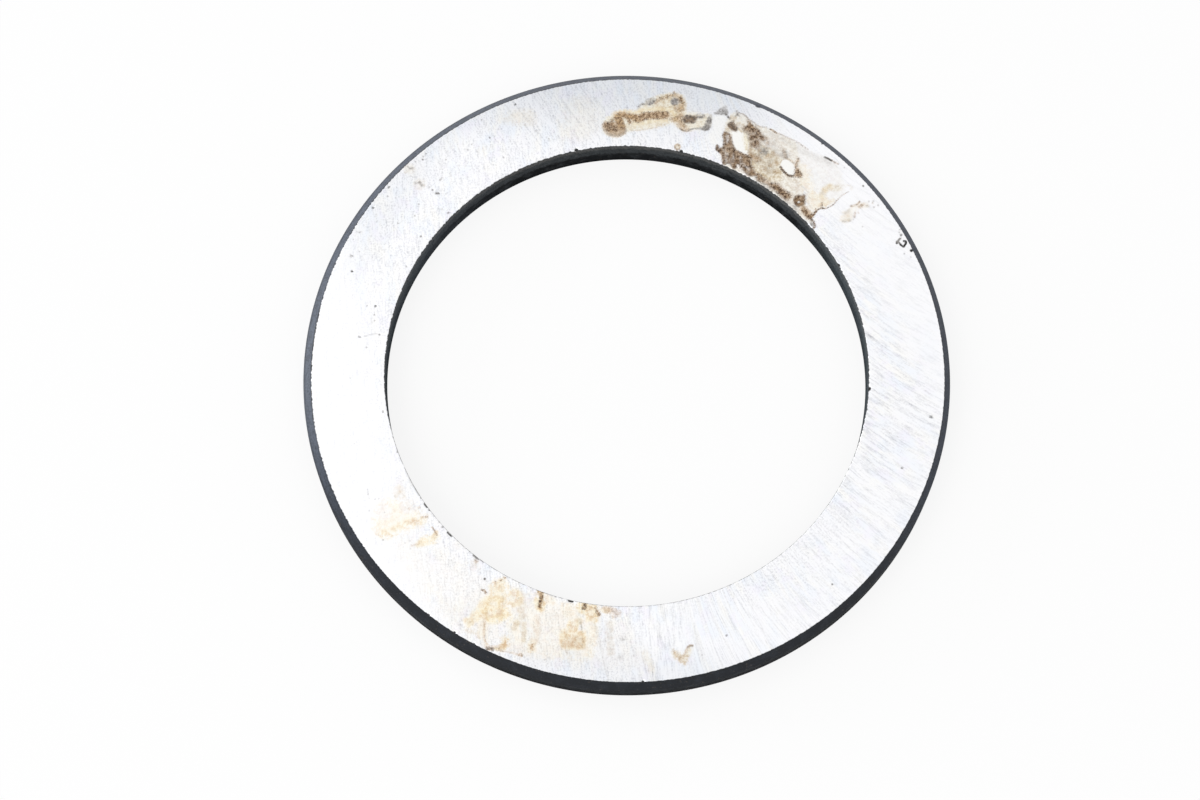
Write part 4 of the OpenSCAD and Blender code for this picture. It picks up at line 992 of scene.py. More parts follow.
@dataclass(frozen=True)
class GrindingWheel:
    """The patterns that the face grinder left, in millimetres.

    To the left the lines are straight. To the right they bend as the wheel's edge passed over the
    ring: arcs of the wheel's radius, each moved along y from the one before, and wider apart by the
    arc pitch. The scratches run straight and across the lines.
    """

    line_turn: float = math.radians(98)
    scratch_turn: float = math.radians(-53)
    wheel_radius: float = 64.4
    wheel_x: float = 72.2
    arcs_from: float = 8.5
    arc_pitch: float = 0.75
    straight_to: float = 5.0
    curved_from: float = 13.0
    patterns: tuple[LinePattern, ...] = (
        LinePattern("Lines", 2.0, 0.22, 5.0), LinePattern("Fine", 5.0, 0.7, 3.0),
        LinePattern("Tint", 0.6, 0.2, 3.0),
    )
    scratches: LinePattern = LinePattern("Scratches", 3.6, 0.09, 3.0)
    straight_level: float = 3.0
    scratch_level: float = 5.0
    arc_level: float = 9.0

    def group(self) -> bpy.types.NodeTree:
        """The group that puts out the lines.

        Returns:
            A group from a place in millimetres to Lines, 0 to 1 about 0.5, Fine, the same for the hair
            lines, Tint, the same for wide streaks, and Scratches. Across a straight line the place reads
            x sin(turn) - y cos(turn). Along an arc y + sqrt(radius^2 - (x - wheel x)^2) stays the same.
        """
        made = (*self.patterns, self.scratches)
        effect = Effect("grinding lines", ("Vector",), tuple(pattern.title for pattern in made))
        wire = effect.wire
        x, y, _ = wire.split(effect.given["Vector"])
        across = wire.towards(x, y, math.sin(self.line_turn), -math.cos(self.line_turn))
        along = wire.towards(x, y, math.cos(self.line_turn), math.sin(self.line_turn))
        offset = wire.maths("SUBTRACT", wire.greatest(x, self.arcs_from), self.wheel_x)
        depth = wire.maths("SUBTRACT", self.wheel_radius**2, wire.times(offset, offset))
        arc = wire.times(wire.add_up(y, wire.maths("SQRT", wire.greatest(depth, 0.0))), self.arc_pitch)
        share = wire.ease(x, self.straight_to, self.curved_from)
        for pattern in self.patterns:
            straight = pattern.draw(wire, across, along, self.straight_level)
            bent = pattern.draw(wire, arc, x, self.arc_level)
            effect.put_out(pattern.title, wire.between(share, straight, bent))
        aslant = wire.towards(x, y, -math.sin(self.scratch_turn), math.cos(self.scratch_turn))
        down = wire.towards(x, y, math.cos(self.scratch_turn), math.sin(self.scratch_turn))
        effect.put_out(self.scratches.title, self.scratches.draw(wire, aslant, down, self.scratch_level))
        return effect.group


def ragged_group() -> bpy.types.NodeTree:
    """The group that turns the reach of a residue into its cover, with a grainy border.

    Returns:
        A group from Reach, Depth, a place, Grain in grains per millimetre and Ragged to Mask: half of
        1 + reach + ragged times noise of about -1 to 1, kept within 0 and 1, times depth.
    """
    effect = Effect("ragged cover", ("Vector", "Reach", "Depth", "Grain", "Ragged"), ("Mask",))
    wire, given = effect.wire, effect.given
    grain = wire.noise(given["Vector"], given["Grain"], 3.0, 0.6)
    swing = wire.times(wire.spread(grain, NOISE_WIDTH), given["Ragged"])
    cover = wire.maths("MULTIPLY_ADD", wire.add_up(given["Reach"], swing), 0.5, 0.5, clamp=True)
    effect.put_out("Mask", wire.times(cover, given["Depth"]))
    return effect.group


def border_group(edge: float = 0.03) -> bpy.types.NodeTree:
    """The group for the black that laps over a round edge of a ground face in small teeth.

    Args:
        edge: half the width in millimetres over which a tooth ends.

    Returns:
        A group from a place, the edge's Centre X and Radius, Side (1 if the face lies inside the edge,
        -1 outside), Lap, Tooth and Grain to Mask: 1 where the distance to the edge, Side times radius
        less the place's own, is under Lap plus Tooth times noise of about -1 to 1.
    """
    inputs = ("Vector", "Centre X", "Radius", "Side", "Lap", "Tooth", "Grain")
    effect = Effect("edge teeth", inputs, ("Mask",))
    wire, given = effect.wire, effect.given
    x, y, _ = wire.split(given["Vector"])
    length = wire.radius(wire.maths("SUBTRACT", x, given["Centre X"]), y)
    gap = wire.times(wire.maths("SUBTRACT", given["Radius"], length), given["Side"])
    grain = wire.noise(given["Vector"], given["Grain"])
    lap = wire.maths("MULTIPLY_ADD", wire.spread(grain, NOISE_WIDTH), given["Tooth"], given["Lap"])
    effect.put_out("Mask", wire.ease(wire.maths("SUBTRACT", lap, gap), -edge, edge))
    return effect.group


def specks_group(edge: float = 0.04) -> bpy.types.NodeTree:
    """The group for small specks strewn over a surface.

    Args:
        edge: how much of the noise's range a speck takes to come in.

    Returns:
        A group from a place, Grain in specks per millimetre and Share to Mask: noise of 0 to 1 eased
        from 0 to 1 over the edge below one less Share.
    """
    effect = Effect("specks", ("Vector", "Grain", "Share"), ("Mask",))
    wire, given = effect.wire, effect.given
    limit = wire.maths("SUBTRACT", 1.0, given["Share"])
    grain = wire.noise(given["Vector"], given["Grain"], 2.0, 0.55)
    effect.put_out("Mask", wire.ease(grain, wire.maths("SUBTRACT", limit, edge), limit))
    return effect.group


@dataclass(frozen=True)
class ResidueLook:
    """How one residue looks: its palest and darkest colour, its grain, and how it changes the steel.

    Strength is its cover in the middle, mottle how far that and the tone swing, and height how far it
    stands up from the steel in bump units.
    """

    residue: Residue
    pale: Colour
    dark: Colour
    strength: float
    grain: float
    ragged: float
    mottle: float
    metal: float
    rough: float
    height: float = 0.12


RESIDUE_LOOKS = (
    ResidueLook(Residue.BARE, srgb(250, 249, 245), srgb(236, 236, 236), strength=0.9, grain=1.5, ragged=0.3,
                mottle=0.3, metal=0.5, rough=0.4),
    ResidueLook(Residue.WASH, srgb(239, 229, 201), srgb(179, 153, 118), strength=1.0, grain=3.2, ragged=0.9,
                mottle=0.64, metal=0.5, rough=0.5),
    ResidueLook(Residue.GREY, srgb(198, 194, 190), srgb(86, 80, 77), strength=1.15, grain=3.4, ragged=0.6,
                mottle=0.65, metal=0.3, rough=0.55),
    ResidueLook(Residue.RUST, srgb(247, 231, 184), srgb(200, 154, 86), strength=1.0, grain=2.7, ragged=1.0,
                mottle=0.72, metal=0.4, rough=0.6),
    ResidueLook(Residue.CRUST, srgb(206, 168, 122), srgb(66, 45, 31), strength=1.15, grain=5.2, ragged=1.0,
                mottle=0.76, metal=0.05, rough=0.7),
    ResidueLook(Residue.PIT, srgb(120, 112, 104), srgb(16, 15, 15), strength=1.2, grain=3.2, ragged=0.4,
                mottle=0.3, metal=0.05, rough=0.6, height=-0.5),
)


class Surface(NamedTuple):
    """A finish so far: its colour, metallic, roughness and bump height, each a socket or a plain value."""

    colour: Feed
    metal: Feed
    rough: Feed
    height: Feed


@dataclass(frozen=True)
class GroundSteel:
    """Bright ground steel with faint tints, and on the upper face the residues laid over it.

    The grain is the groove colour, shown by a small share that swings with the lines, the hair lines, a
    fine speckle and, at the back, the scratches. It is smoother at the right, the left and the front
    right. The lines are stronger and the speckle weaker at the right and at the front. A bluish grey
    darkens the face towards its back, front and back-left edges.

    At the rim and the bore the black laps over the face in small teeth. They reach further at the left
    and the back left of the rim, and are a thin broken grey line at the bore's near side.

    A noise is given as its scale per millimetre, detail and roughness, and an ease as low, high, start
    and end. Of two values for the grain, the second holds where it is smooth, or where it is lined.
    """

    name: str
    stained: bool
    rim_centre_x: float
    rim_radius: float
    bore_radius: float
    base: Colour = srgb(249, 249, 251)
    cool: Colour = srgb(239, 244, 252)
    warm: Colour = srgb(251, 250, 247)
    lilac: Colour = srgb(243, 240, 251)
    # A bluish grey that darkens the face towards its back, front and back-left edges
    film: Colour = srgb(158, 168, 180)
    groove: Colour = srgb(150, 153, 162)
    black: Colour = srgb(36, 39, 43)
    worn_black: Colour = srgb(128, 128, 126)
    warm_ease: Setting = (0.36, 0.64)
    lilac_noise: Setting = (0.4, 3.0, 0.6)
    lilac_ease: Setting = (0.5, 0.64, 0.0, 0.7)
    base_noise: Setting = (0.25, 2.0)
    base_ease: Setting = (0.4, 0.6, 0.25, 0.85)
    edge_grey_fades: tuple[Fade, ...] = (
        Fade(0, 1, 31, 44, end=0.36), Fade(0, 1, -37, -43.5, end=0.13),
        Fade(-0.87, 0.5, 36.5, 42, end=0.12),
    )
    smooth_fades: tuple[Fade, ...] = (
        Fade(0.87, 0.5, 32.5, 39), Fade(-0.97, -0.26, 29, 37), Fade(0.77, -0.64, 33, 40, end=0.45),
    )
    smooth_base: float = 0.7
    lined_right: Fade = Fade(1, 0, 24, 34)
    lined_front: tuple[Fade, Fade] = (Fade(1, 0, -1, 6), Fade(0, 1, -30, -34))
    scratched: tuple[Fade, Fade] = (Fade(0, 1, 28, 36, end=0.8), Fade(1, 0, 16, 2))
    grain_share: tuple[float, float] = (0.055, 0.012)
    swing_share: tuple[float, float] = (1.4, 0.5)
    line_swing: tuple[float, float] = (0.55, 1.0)
    deep_line_ease: Setting = (0.36, 0.24, 0.0, 0.2)
    fine_swing: float = 0.8
    speckle_noise: Setting = (3.6, 2.0, 0.7)
    speckle_swing: tuple[float, float] = (1.0, 0.5)
    rim_lap: tuple[Fade, ...] = (
        Fade(1, 0, -42.2, -43.9, 0.03, 0.13), Fade(-0.6, 0.8, 36, 42, end=0.05),
    )
    rim_tooth: Fade = Fade(1, 0, -30, -43, 0.05, 0.13)
    rim_grain: float = 2.6
    bore_far: Fade = Fade(0, 1, -16, -3)
    bore_lap: tuple[float, float] = (-0.01, 0.03)
    bore_tooth: tuple[float, float] = (0.05, 0.1)
    bore_grain: float = 2.2
    mottle_noise: Setting = (0.5, 5.0, 0.85)
    mottle_ease: Setting = (0.4, 0.6, -1.0, 1.0)
    mottle_cover: float = 0.4
    mottle_tone: float = 0.5
    mottle_height: float = 0.1
    rough: float = 0.34
    fine_rough: float = 0.16
    grain_rough: float = 0.2
    black_rough: float = 0.55
    line_height: float = 0.05
    fine_height: float = 0.03
    black_height: float = -0.3
    bump: float = 0.6

    def material(self, effects: Effects) -> bpy.types.Material:
        """Builds the material.

        Args:
            effects: the shared node groups.

        Returns:
            A material of one Principled BSDF, fed with colour, metallic, roughness and normal.
        """
        site = Site(self.name, effects)
        wire = site.wire
        cut = wire.place(effects.grinding, Vector=site.place)
        colour, grain = self.grain(site, cut)
        rough = wire.add_up(self.rough, wire.spread(cut["Fine"], self.fine_rough),
                            wire.times(grain, self.grain_rough))
        height = wire.add_up(wire.times(cut["Lines"], self.line_height),
                             wire.times(cut["Fine"], self.fine_height))
        face = Surface(colour, 1.0, rough, height)
        for look in RESIDUE_LOOKS if self.stained else ():
            face = self.lay_residue(site, look, face)
        face = self.lap_edges(site, face)
        return site.finish(
            self.bump, face.height, Base_Color=face.colour, Metallic=face.metal, Roughness=face.rough
        )

    def grain(self, site: Site, cut: bpy.types.bpy_prop_collection) -> tuple[Socket, Socket]:
        """The clean steel's tints and grain.

        Args:
            site: the material in the making.
            cut: the outputs of the grinding lines.

        Returns:
            The colour, and the share of the groove colour in it.
        """
        wire = site.wire
        smooth = wire.greatest(*site.strengths(*self.smooth_fades))
        scratched = wire.times(*site.strengths(*self.scratched))
        front = wire.times(*site.strengths(*self.lined_front))
        lined = wire.greatest(*site.strengths(self.lined_right), front)
        colour = wire.blend(wire.ease(cut["Tint"], *self.warm_ease), self.cool, self.warm)
        for share, tint in (
            (wire.ease(site.noise(self.lilac_noise), *self.lilac_ease), self.lilac),
            (wire.ease(site.noise(self.base_noise), *self.base_ease), self.base),
            # The bluish grey towards the back, front and back-left edges
            (wire.add_up(*site.strengths(*self.edge_grey_fades)), self.film),
            (wire.times(smooth, self.smooth_base), self.base),
        ):
            colour = wire.blend(share, colour, tint)
        swings: Feed = wire.ease(cut["Lines"], *self.deep_line_ease)
        for value, swing in (
            (cut["Lines"], wire.between(lined, *self.line_swing)),
            (cut["Fine"], self.fine_swing),
            (site.noise(self.speckle_noise), wire.between(lined, *self.speckle_swing)),
            (cut["Scratches"], scratched),
        ):
            swings = wire.add_up(swings, wire.times(wire.maths("SUBTRACT", 0.5, value), swing))
        share = wire.maths("MULTIPLY_ADD", swings, wire.between(smooth, *self.swing_share),
                           wire.between(smooth, *self.grain_share), clamp=True)
        return wire.blend(share, colour, self.groove), share

    def lay_residue(self, site: Site, look: ResidueLook, under: Surface) -> Surface:
        """Lays one residue over what is there.

        Args:
            site: the material in the making.
            look: how the residue looks.
            under: the finish so far.

        Returns:
            The finish with the residue laid over it, by its cover.
        """
        wire = site.wire
        reach, depth, shade = wire.field(look.residue.value)
        mask = site.mask(site.effects.ragged, Reach=reach, Depth=depth, Grain=look.grain, Ragged=look.ragged)
        scale, *rest = self.mottle_noise
        mottle = wire.ease(site.noise((look.grain * scale, *rest)), *self.mottle_ease)
        swing = wire.maths("MULTIPLY_ADD", mottle, look.mottle * self.mottle_cover, look.strength)
        cover = wire.maths("MULTIPLY", mask, swing, clamp=True)
        tone = wire.maths("MULTIPLY_ADD", mottle, look.mottle * self.mottle_tone, shade, clamp=True)
        lift = wire.times(cover, wire.maths("MULTIPLY_ADD", mottle, self.mottle_height, look.height))
        return Surface(
            wire.blend(cover, under.colour, wire.blend(tone, look.pale, look.dark)),
            wire.between(cover, under.metal, look.metal),
            wire.between(cover, under.rough, look.rough),
            wire.add_up(under.height, lift),
        )

    def lap_edges(self, site: Site, under: Surface) -> Surface:
        """Laps the black over the face along the rim and the bore.

        Args:
            site: the material in the making.
            under: the finish so far.

        Returns:
            The finish with the teeth of black laid over it.
        """
        wire, teeth = site.wire, site.effects.border
        far, tooth = site.strengths(self.bore_far, self.rim_tooth)
        rim = site.mask(
            teeth, Centre_X=self.rim_centre_x, Radius=self.rim_radius, Side=1.0,
            Lap=wire.add_up(*site.strengths(*self.rim_lap)), Tooth=tooth, Grain=self.rim_grain,
        )
        bore = site.mask(
            teeth, Centre_X=0.0, Radius=self.bore_radius, Side=-1.0, Lap=wire.between(far, *self.bore_lap),
            Tooth=wire.between(far, *self.bore_tooth), Grain=self.bore_grain,
        )
        colour = wire.blend(bore, under.colour, wire.blend(far, self.worn_black, self.black))
        lap = wire.greatest(rim, bore)
        return Surface(
            wire.blend(rim, colour, self.black),
            wire.between(lap, under.metal, 0.0),
            wire.between(lap, under.rough, self.black_rough),
            wire.add_up(under.height, wire.times(lap, self.black_height)),
        )


class Blacking(Enum):
    """The places that stayed black from hardening, each with its own tone and sheen."""

    CHAMFER = "black_chamfer"
    RIM = "black_rim"
    BORE = "black_bore"


@dataclass(frozen=True)
class BlackScale:
    """Black scale from hardening over a turned surface, with fine rings, grey rubs and brown specks.

    With height it goes through the tones of its shade levels, from the lowest up, with a ragged border
    between them, a painted shade that darkens it towards the bottom. Painted sheen share is how much paler
    it is painted at the back, the right and the left, a painted reflection, rub how much shows through in
    clouds all round, blots how dark its uneven patches are, edge dark how dark it is along the two edges
    of the upper chamfer, and flank sheen how much paler it is painted at the right and the left of the
    bore, also a painted reflection. The left highlight is a paler tone painted at the left, a painted
    highlight. Sheen is its Specular IOR Level. Noises and eases are given as for GroundSteel.
    """

    place_name: Blacking
    shade_levels: tuple[tuple[float, Colour], ...]
    pale: Colour
    painted_sheen_share: float
    rub: float
    rough: float
    sheen: float
    blots: float
    edge_dark: float
    flank_sheen: float = 0.0
    flank_sheen_tone: Colour = srgb(96, 106, 112)
    left_highlight_tone: Colour = srgb(128, 136, 150)
    grit_tone: Colour = srgb(12, 13, 14)
    dark_tone: Colour = srgb(20, 22, 26)
    speck_tone: Colour = srgb(104, 92, 80)
    painted_sheen_fades: tuple[Fade, ...] = (
        Fade(-0.5, 0.87, -15.75, 22.5, end=0.8), Fade(1, 0.15, 28, 45, end=0.5),
        Fade(-1, 0.15, 34, 42, end=0.32),
    )
    flank_sheen_fades: tuple[Fade, ...] = (Fade(1, 0, 22, 31), Fade(1, 0, -23, -31, end=0.7))
    left_highlight_fade: Fade = Fade(-1, 0.5, 30, 47, end=0.2)
    turns_up: float = 4.0
    turns_out: float = -1.5
    ring_pattern: LinePattern = LinePattern("Rings", 0.05, 0.05, 4.0, 0.6)
    blot_pattern: LinePattern = LinePattern("Blots", 0.9, 0.9, 3.0, 0.6)
    blot_ease: Setting = (0.54, 0.36)
    cloud_noise: Setting = (0.7, 4.0, 0.6)
    worn_rings: float = 0.35
    worn_ease: Setting = (0.6, 0.86)
    grit_noise: Setting = (4.5, 3.0, 0.6)
    grit_ease: Setting = (0.52, 0.34, 0.0, 0.55)
    level_noise: Setting = (1.8, 3.0, 0.6)
    level_swing: float = 2.0
    level_border: float = 0.35
    edge_eases: tuple[Setting, ...] = ((4.3, 4.02, 0.0, 1.0), (4.8, 4.98, 0.0, 0.8))
    speck_grain: float = 2.4
    speck_share: float = 0.3
    speck_cover: float = 0.25
    grit_rough: float = 0.2
    worn_rough: float = -0.06
    ring_height: float = 0.25
    grit_height: float = 0.2
    bump: float = 0.5

    def material(self, effects: Effects) -> bpy.types.Material:
        """Builds the material.

        Args:
            effects: the shared node groups.

        Returns:
            A material of one Principled BSDF, fed with colour, roughness and normal.
        """
        site = Site(self.place_name.value, effects)
        wire, x, y = site.wire, site.x, site.y
        turns = wire.add_up(wire.times(site.z, self.turns_up), wire.times(wire.radius(x, y), self.turns_out))
        rings = self.ring_pattern.draw(wire, x, y, turns)
        uneven = self.blot_pattern.draw(wire, x, y, turns)
        grit = site.noise(self.grit_noise)
        cloud = wire.add_up(site.noise(self.cloud_noise), wire.times(rings, self.worn_rings))
        worn = wire.ease(cloud, *self.worn_ease)
        # Painted sheen: paler at the back, the right and the left, a painted reflection
        pale = wire.add_up(*site.strengths(*self.painted_sheen_fades))
        # Painted sheen on the bore wall's right and left sides, a painted reflection
        flank_sheen_strength = wire.add_up(*site.strengths(*self.flank_sheen_fades))
        edges = wire.add_up(*(wire.ease(site.z, *steps) for steps in self.edge_eases))
        specks = site.mask(effects.specks, Grain=self.speck_grain, Share=self.speck_share)
        # Painted shade: the tone darkens towards the bottom, level by level
        colour = self.painted_shade_by_height(site)
        for share, tone in (
            (wire.maths("MULTIPLY", pale, self.painted_sheen_share, clamp=True), self.pale),
            (wire.times(flank_sheen_strength, self.flank_sheen), self.flank_sheen_tone),
            # Painted highlight: a paler, bluish tone at the left
            (site.strengths(self.left_highlight_fade)[0], self.left_highlight_tone),
            (wire.times(worn, self.rub), self.pale),
            (wire.ease(grit, *self.grit_ease), self.grit_tone),
            (wire.ease(uneven, *self.blot_ease, 0.0, self.blots), self.dark_tone),
            (wire.times(edges, self.edge_dark), self.dark_tone),
            (wire.times(specks, self.speck_cover), self.speck_tone),
        ):
            colour = wire.blend(share, colour, tone)
        rough = wire.add_up(self.rough, wire.spread(grit, self.grit_rough), wire.times(worn, self.worn_rough))
        height = wire.add_up(wire.times(rings, self.ring_height), wire.times(grit, self.grit_height))
        return site.finish(
            self.bump, height, Base_Color=colour, Roughness=rough, Specular_IOR_Level=self.sheen
        )

    def painted_shade_by_height(self, site: Site) -> Feed:
        """The tone of the scale by height, each level coming in across a ragged border.

        Args:
            site: the material in the making.

        Returns:
            The colour, which eases to a level's tone as the height plus noise passes the level's own: a
            painted shade, darker towards the bottom.
        """
        wire = site.wire
        ragged = wire.add_up(site.z, wire.spread(site.noise(self.level_noise), self.level_swing))
        (_, colour), *others = self.shade_levels
        for height, tone in others:
            step = wire.ease(ragged, height - self.level_border, height + self.level_border)
            colour = wire.blend(step, colour, tone)
        return colour


class Zone(Enum):
    """The finishes that follow each other round the ring's section. The value is the material slot."""

    UPPER_FACE = 0
    CHAMFER = 1
    RIM = 2
    LOWER_FACE = 3
    BORE = 4


@dataclass
class ShimRing:
    """The shim: a flat ring, worked out as one closed surface round its section. Sizes in millimetres.

    Fine sectors are the degrees round the ring between which the stains lie.
    """

    outer_radius: float = 45.0
    bore_radius: float = 33.6
    thickness: float = 5.0
    chamfer: float = 1.0
    chamfer_runout: float = 0.14
    bore_break: float = 0.05
    fine_sectors: tuple[tuple[float, float], ...] = ((20.0, 108.0), (208.0, 286.0))
    fine_columns: int = 700
    plain_columns: int = 450
    face_rows: int = 68
    chamfer_rows: int = 3
    rim_rows: int = 3
    low_chamfer_rows: int = 2
    low_face_rows: int = 4
    bore_rows: int = 4
    chipped_bore_rows: int = 2
    chip_depth: float = 0.16
    pit_depth: float = 0.03
    pit_border: tuple[float, float] = (-1.0, 1.0)
    wear: WearMap = field(default_factory=WearMap)

    def columns(self) -> Array:
        """The angles of the columns round the ring.

        Returns:
            Angles in radians, evenly spaced within each sector and closer in the fine ones, where the
            stains lie. Each count is shared out by the sectors' widths.
        """
        edges = sorted(edge for sector in self.fine_sectors for edge in sector)
        spans = list(zip(edges, edges[1:] + [edges[0] + 360.0]))
        fine = [(low, high) in self.fine_sectors for low, high in spans]
        parts = []
        for (low, high), is_fine in zip(spans, fine):
            total = sum(b - a for (a, b), same in zip(spans, fine) if same == is_fine)
            count = round((self.fine_columns if is_fine else self.plain_columns) * (high - low) / total)
            parts.append(np.linspace(low, high, count, endpoint=False))
        return np.radians(np.concatenate(parts))

    def face_edge(self, angle: Array) -> Array:
        """The upper face's outer radius at each angle.

        Args:
            angle: radians.

        Returns:
            Millimetres from the bore axis to a circle whose own centre lies at the runout on +X:
            e cos(a) + sqrt(r^2 - e^2 sin(a)^2).
        """
        radius, runout = self.outer_radius - self.chamfer, self.chamfer_runout
        return runout * np.cos(angle) + np.sqrt(radius**2 - (runout * np.sin(angle)) ** 2)

    def section(self, angle: Array) -> tuple[Array, Array, Array]:
        """The ring's surface as rows round the section by columns round the ring.

        Args:
            angle: the columns' angles in radians.

        Returns:
            Radius and height of each row and column, and the slot number of each strip between a row
            and the next. A strip runs straight from one corner of the section to the next, and the
            last joins the first.
        """
        one = np.ones_like(angle)
        edge = self.face_edge(angle)
        low_edge = self.thickness - self.chamfer + self.chamfer_runout * np.cos(angle)
        inner = self.bore_radius + self.bore_break
        corners = (
            (inner * one, self.thickness * one, self.face_rows, Zone.UPPER_FACE),
            (edge, self.thickness * one, self.chamfer_rows, Zone.CHAMFER),
            (self.outer_radius * one, low_edge, self.rim_rows, Zone.RIM),
            (self.outer_radius * one, self.chamfer * one, self.low_chamfer_rows, Zone.CHAMFER),
            ((self.outer_radius - self.chamfer) * one, 0 * one, self.low_face_rows, Zone.LOWER_FACE),
            (inner * one, 0 * one, 1, Zone.BORE),
            (self.bore_radius * one, self.bore_break * one, self.bore_rows, Zone.BORE),
            (self.bore_radius * one, (self.thickness - self.bore_break) * one, 1, Zone.UPPER_FACE),
        )
        radii, heights, zones = [], [], []
        for (r0, z0, rows, zone), (r1, z1, _, _) in zip(corners, corners[1:] + corners[:1]):
            share = (np.arange(rows) / rows)[:, None]
            radii.append(r0 + (r1 - r0) * share)
            heights.append(z0 + (z1 - z0) * share)
            zones.append(np.full(rows, zone.value))
        return np.concatenate(radii), np.concatenate(heights), np.concatenate(zones)

    def mesh(self) -> bpy.types.Mesh:
        """Builds the mesh with its wear.

        Returns:
            A closed mesh of four-sided faces, in metres. A vertex at radius r, angle a and height z
            lies at (r cos a, r sin a, z). Pits sink the upper face, and chips cut into both its edges.
            The residues are kept as attributes of its vertices.
        """
        angle = self.columns()
        radius, height, zones = self.section(angle)
        rows, count = radius.shape
        x, y = radius * np.cos(angle), radius * np.sin(angle)
        face = self.face_rows + 1
        on_face = np.zeros((rows, count), bool)
        on_face[:face] = True
        fields = self.wear.lay_down(x[on_face], y[on_face])
        pits = fields[Residue.PIT]
        height[on_face] -= smooth_step(*self.pit_border, pits[:, 0]) * pits[:, 1] * self.pit_depth
        near = np.zeros((rows, count), bool)
        near[: face + self.chamfer_rows] = near[-self.chipped_bore_rows:] = True
        chipped = self.wear.chip_depth(x[near], y[near]) * self.chip_depth
        height[near] = np.maximum(height[near] - chipped, 0.0)
        co = np.stack([x, y, height], axis=-1).reshape(-1, 3) * MM
        row, column = np.meshgrid(np.arange(rows), np.arange(count), indexing="ij")
        next_row, next_column = (row + 1) % rows, (column + 1) % count
        corners = ((row, column), (next_row, column), (next_row, next_column), (row, next_column))
        faces = np.stack([at_row * count + at_column for at_row, at_column in corners], axis=-1)
        faces = faces.reshape(-1, 4)
        mesh = bpy.data.meshes.new("shim_ring_dressed")
        mesh.vertices.add(len(co))
        mesh.vertices.foreach_set("co", co.astype(np.float32).ravel())
        mesh.loops.add(faces.size)
        mesh.loops.foreach_set("vertex_index", faces.astype(np.int32).ravel())
        mesh.polygons.add(len(faces))
        mesh.polygons.foreach_set("loop_start", np.arange(0, faces.size, 4, dtype=np.int32))
        mesh.polygons.foreach_set("material_index", np.repeat(zones, count).astype(np.int32))
        mesh.polygons.foreach_set("use_smooth", np.ones(len(faces), bool))
        mesh.update(calc_edges=True)
        mesh.validate()
        self.keep_fields(mesh, fields, np.flatnonzero(on_face.ravel()))
        self.sharpen_corners(mesh, zones, count)
        return mesh

    def keep_fields(self, mesh: bpy.types.Mesh, fields: dict[Residue, Array], which: Array) -> None:
        """Writes each residue's reach, depth and shade to the mesh.

        Args:
            mesh: the ring's mesh.
            fields: rows of three numbers for each residue.
            which: the vertices that the rows belong to. The others lie as far outside as reach goes.
        """
        for residue, rows in fields.items():
            values = np.zeros((len(mesh.vertices), 3), np.float32)
            values[:, 0] = -self.wear.reach_limit
            values[which] = rows
            kept = mesh.attributes.new(residue.value, "FLOAT_VECTOR", "POINT")
            kept.data.foreach_set("vector", values.ravel())

    @staticmethod
    def sharpen_corners(mesh: bpy.types.Mesh, zones: Array, count: int) -> None:
        """Marks the corners of the section as sharp edges.

        Args:
            mesh: the ring's mesh.
            zones: the slot number of each strip.
            count: columns round the ring.
        """
        starts = np.flatnonzero(zones != np.roll(zones, 1))
        ends = np.empty(len(mesh.edges) * 2, np.int32)
        mesh.edges.foreach_get("vertices", ends)
        first, second = (ends.reshape(-1, 2) // count).T
        sharp = (first == second) & np.isin(first, starts)
        kept = mesh.attributes.get("sharp_edge") or mesh.attributes.new("sharp_edge", "BOOLEAN", "EDGE")
        kept.data.foreach_set("value", sharp)

    def finishes(self) -> tuple[GroundSteel | BlackScale, ...]:
        """The finishes of the zones.

        Returns:
            One finish for each zone, in the order of the material slots.
        """
        face_radius = self.outer_radius - self.chamfer
        inner = self.bore_radius + self.bore_break
        return (
            GroundSteel("ground_face_stained", True, self.chamfer_runout, face_radius, inner),
            # Each blacking's levels darken it towards the bottom, a painted shade, and its paler sides are
            # painted sheen
            BlackScale(
                Blacking.CHAMFER, ((0.0, srgb(8, 9, 10)), (2.5, srgb(23, 28, 35))), srgb(84, 91, 105),
                painted_sheen_share=1.0, rub=0.1, rough=0.4, sheen=0.25, blots=0.32, edge_dark=0.34,
            ),
            BlackScale(
                Blacking.RIM, ((0.0, srgb(5, 6, 7)), (1.2, srgb(18, 19, 22)), (2.5, srgb(36, 39, 43))),
                srgb(82, 89, 98), painted_sheen_share=0.25, rub=0.1, rough=0.6, sheen=0.01, blots=0.12, edge_dark=0.0,
            ),
            GroundSteel("ground_face_plain", False, 0.0, face_radius, inner),
            BlackScale(
                Blacking.BORE, ((0.0, srgb(12, 13, 14)), (2.45, srgb(60, 63, 65)), (4.1, srgb(94, 94, 93))),
                srgb(100, 104, 108), painted_sheen_share=0.12, rub=0.2, rough=0.65, sheen=0.0, blots=0.12,
                edge_dark=0.0, flank_sheen=0.36,
            ),
        )

    def build(self, effects: Effects) -> bpy.types.Object:
        """Makes the ring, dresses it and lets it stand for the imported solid.

        Args:
            effects: the shared node groups.

        Returns:
            The ring, which rides on the frame's body.
        """
        mesh = self.mesh()
        for finish in self.finishes():
            mesh.materials.append(finish.material(effects))
        ring = bpy.data.objects.new("dressed_ring", mesh)
        bpy.context.scene.collection.objects.link(ring)
        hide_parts("shim_ring")
        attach(ring, "root")
        log.info("%s: %d vertices, %d faces", ring.name, len(mesh.vertices), len(mesh.polygons))
        return ring


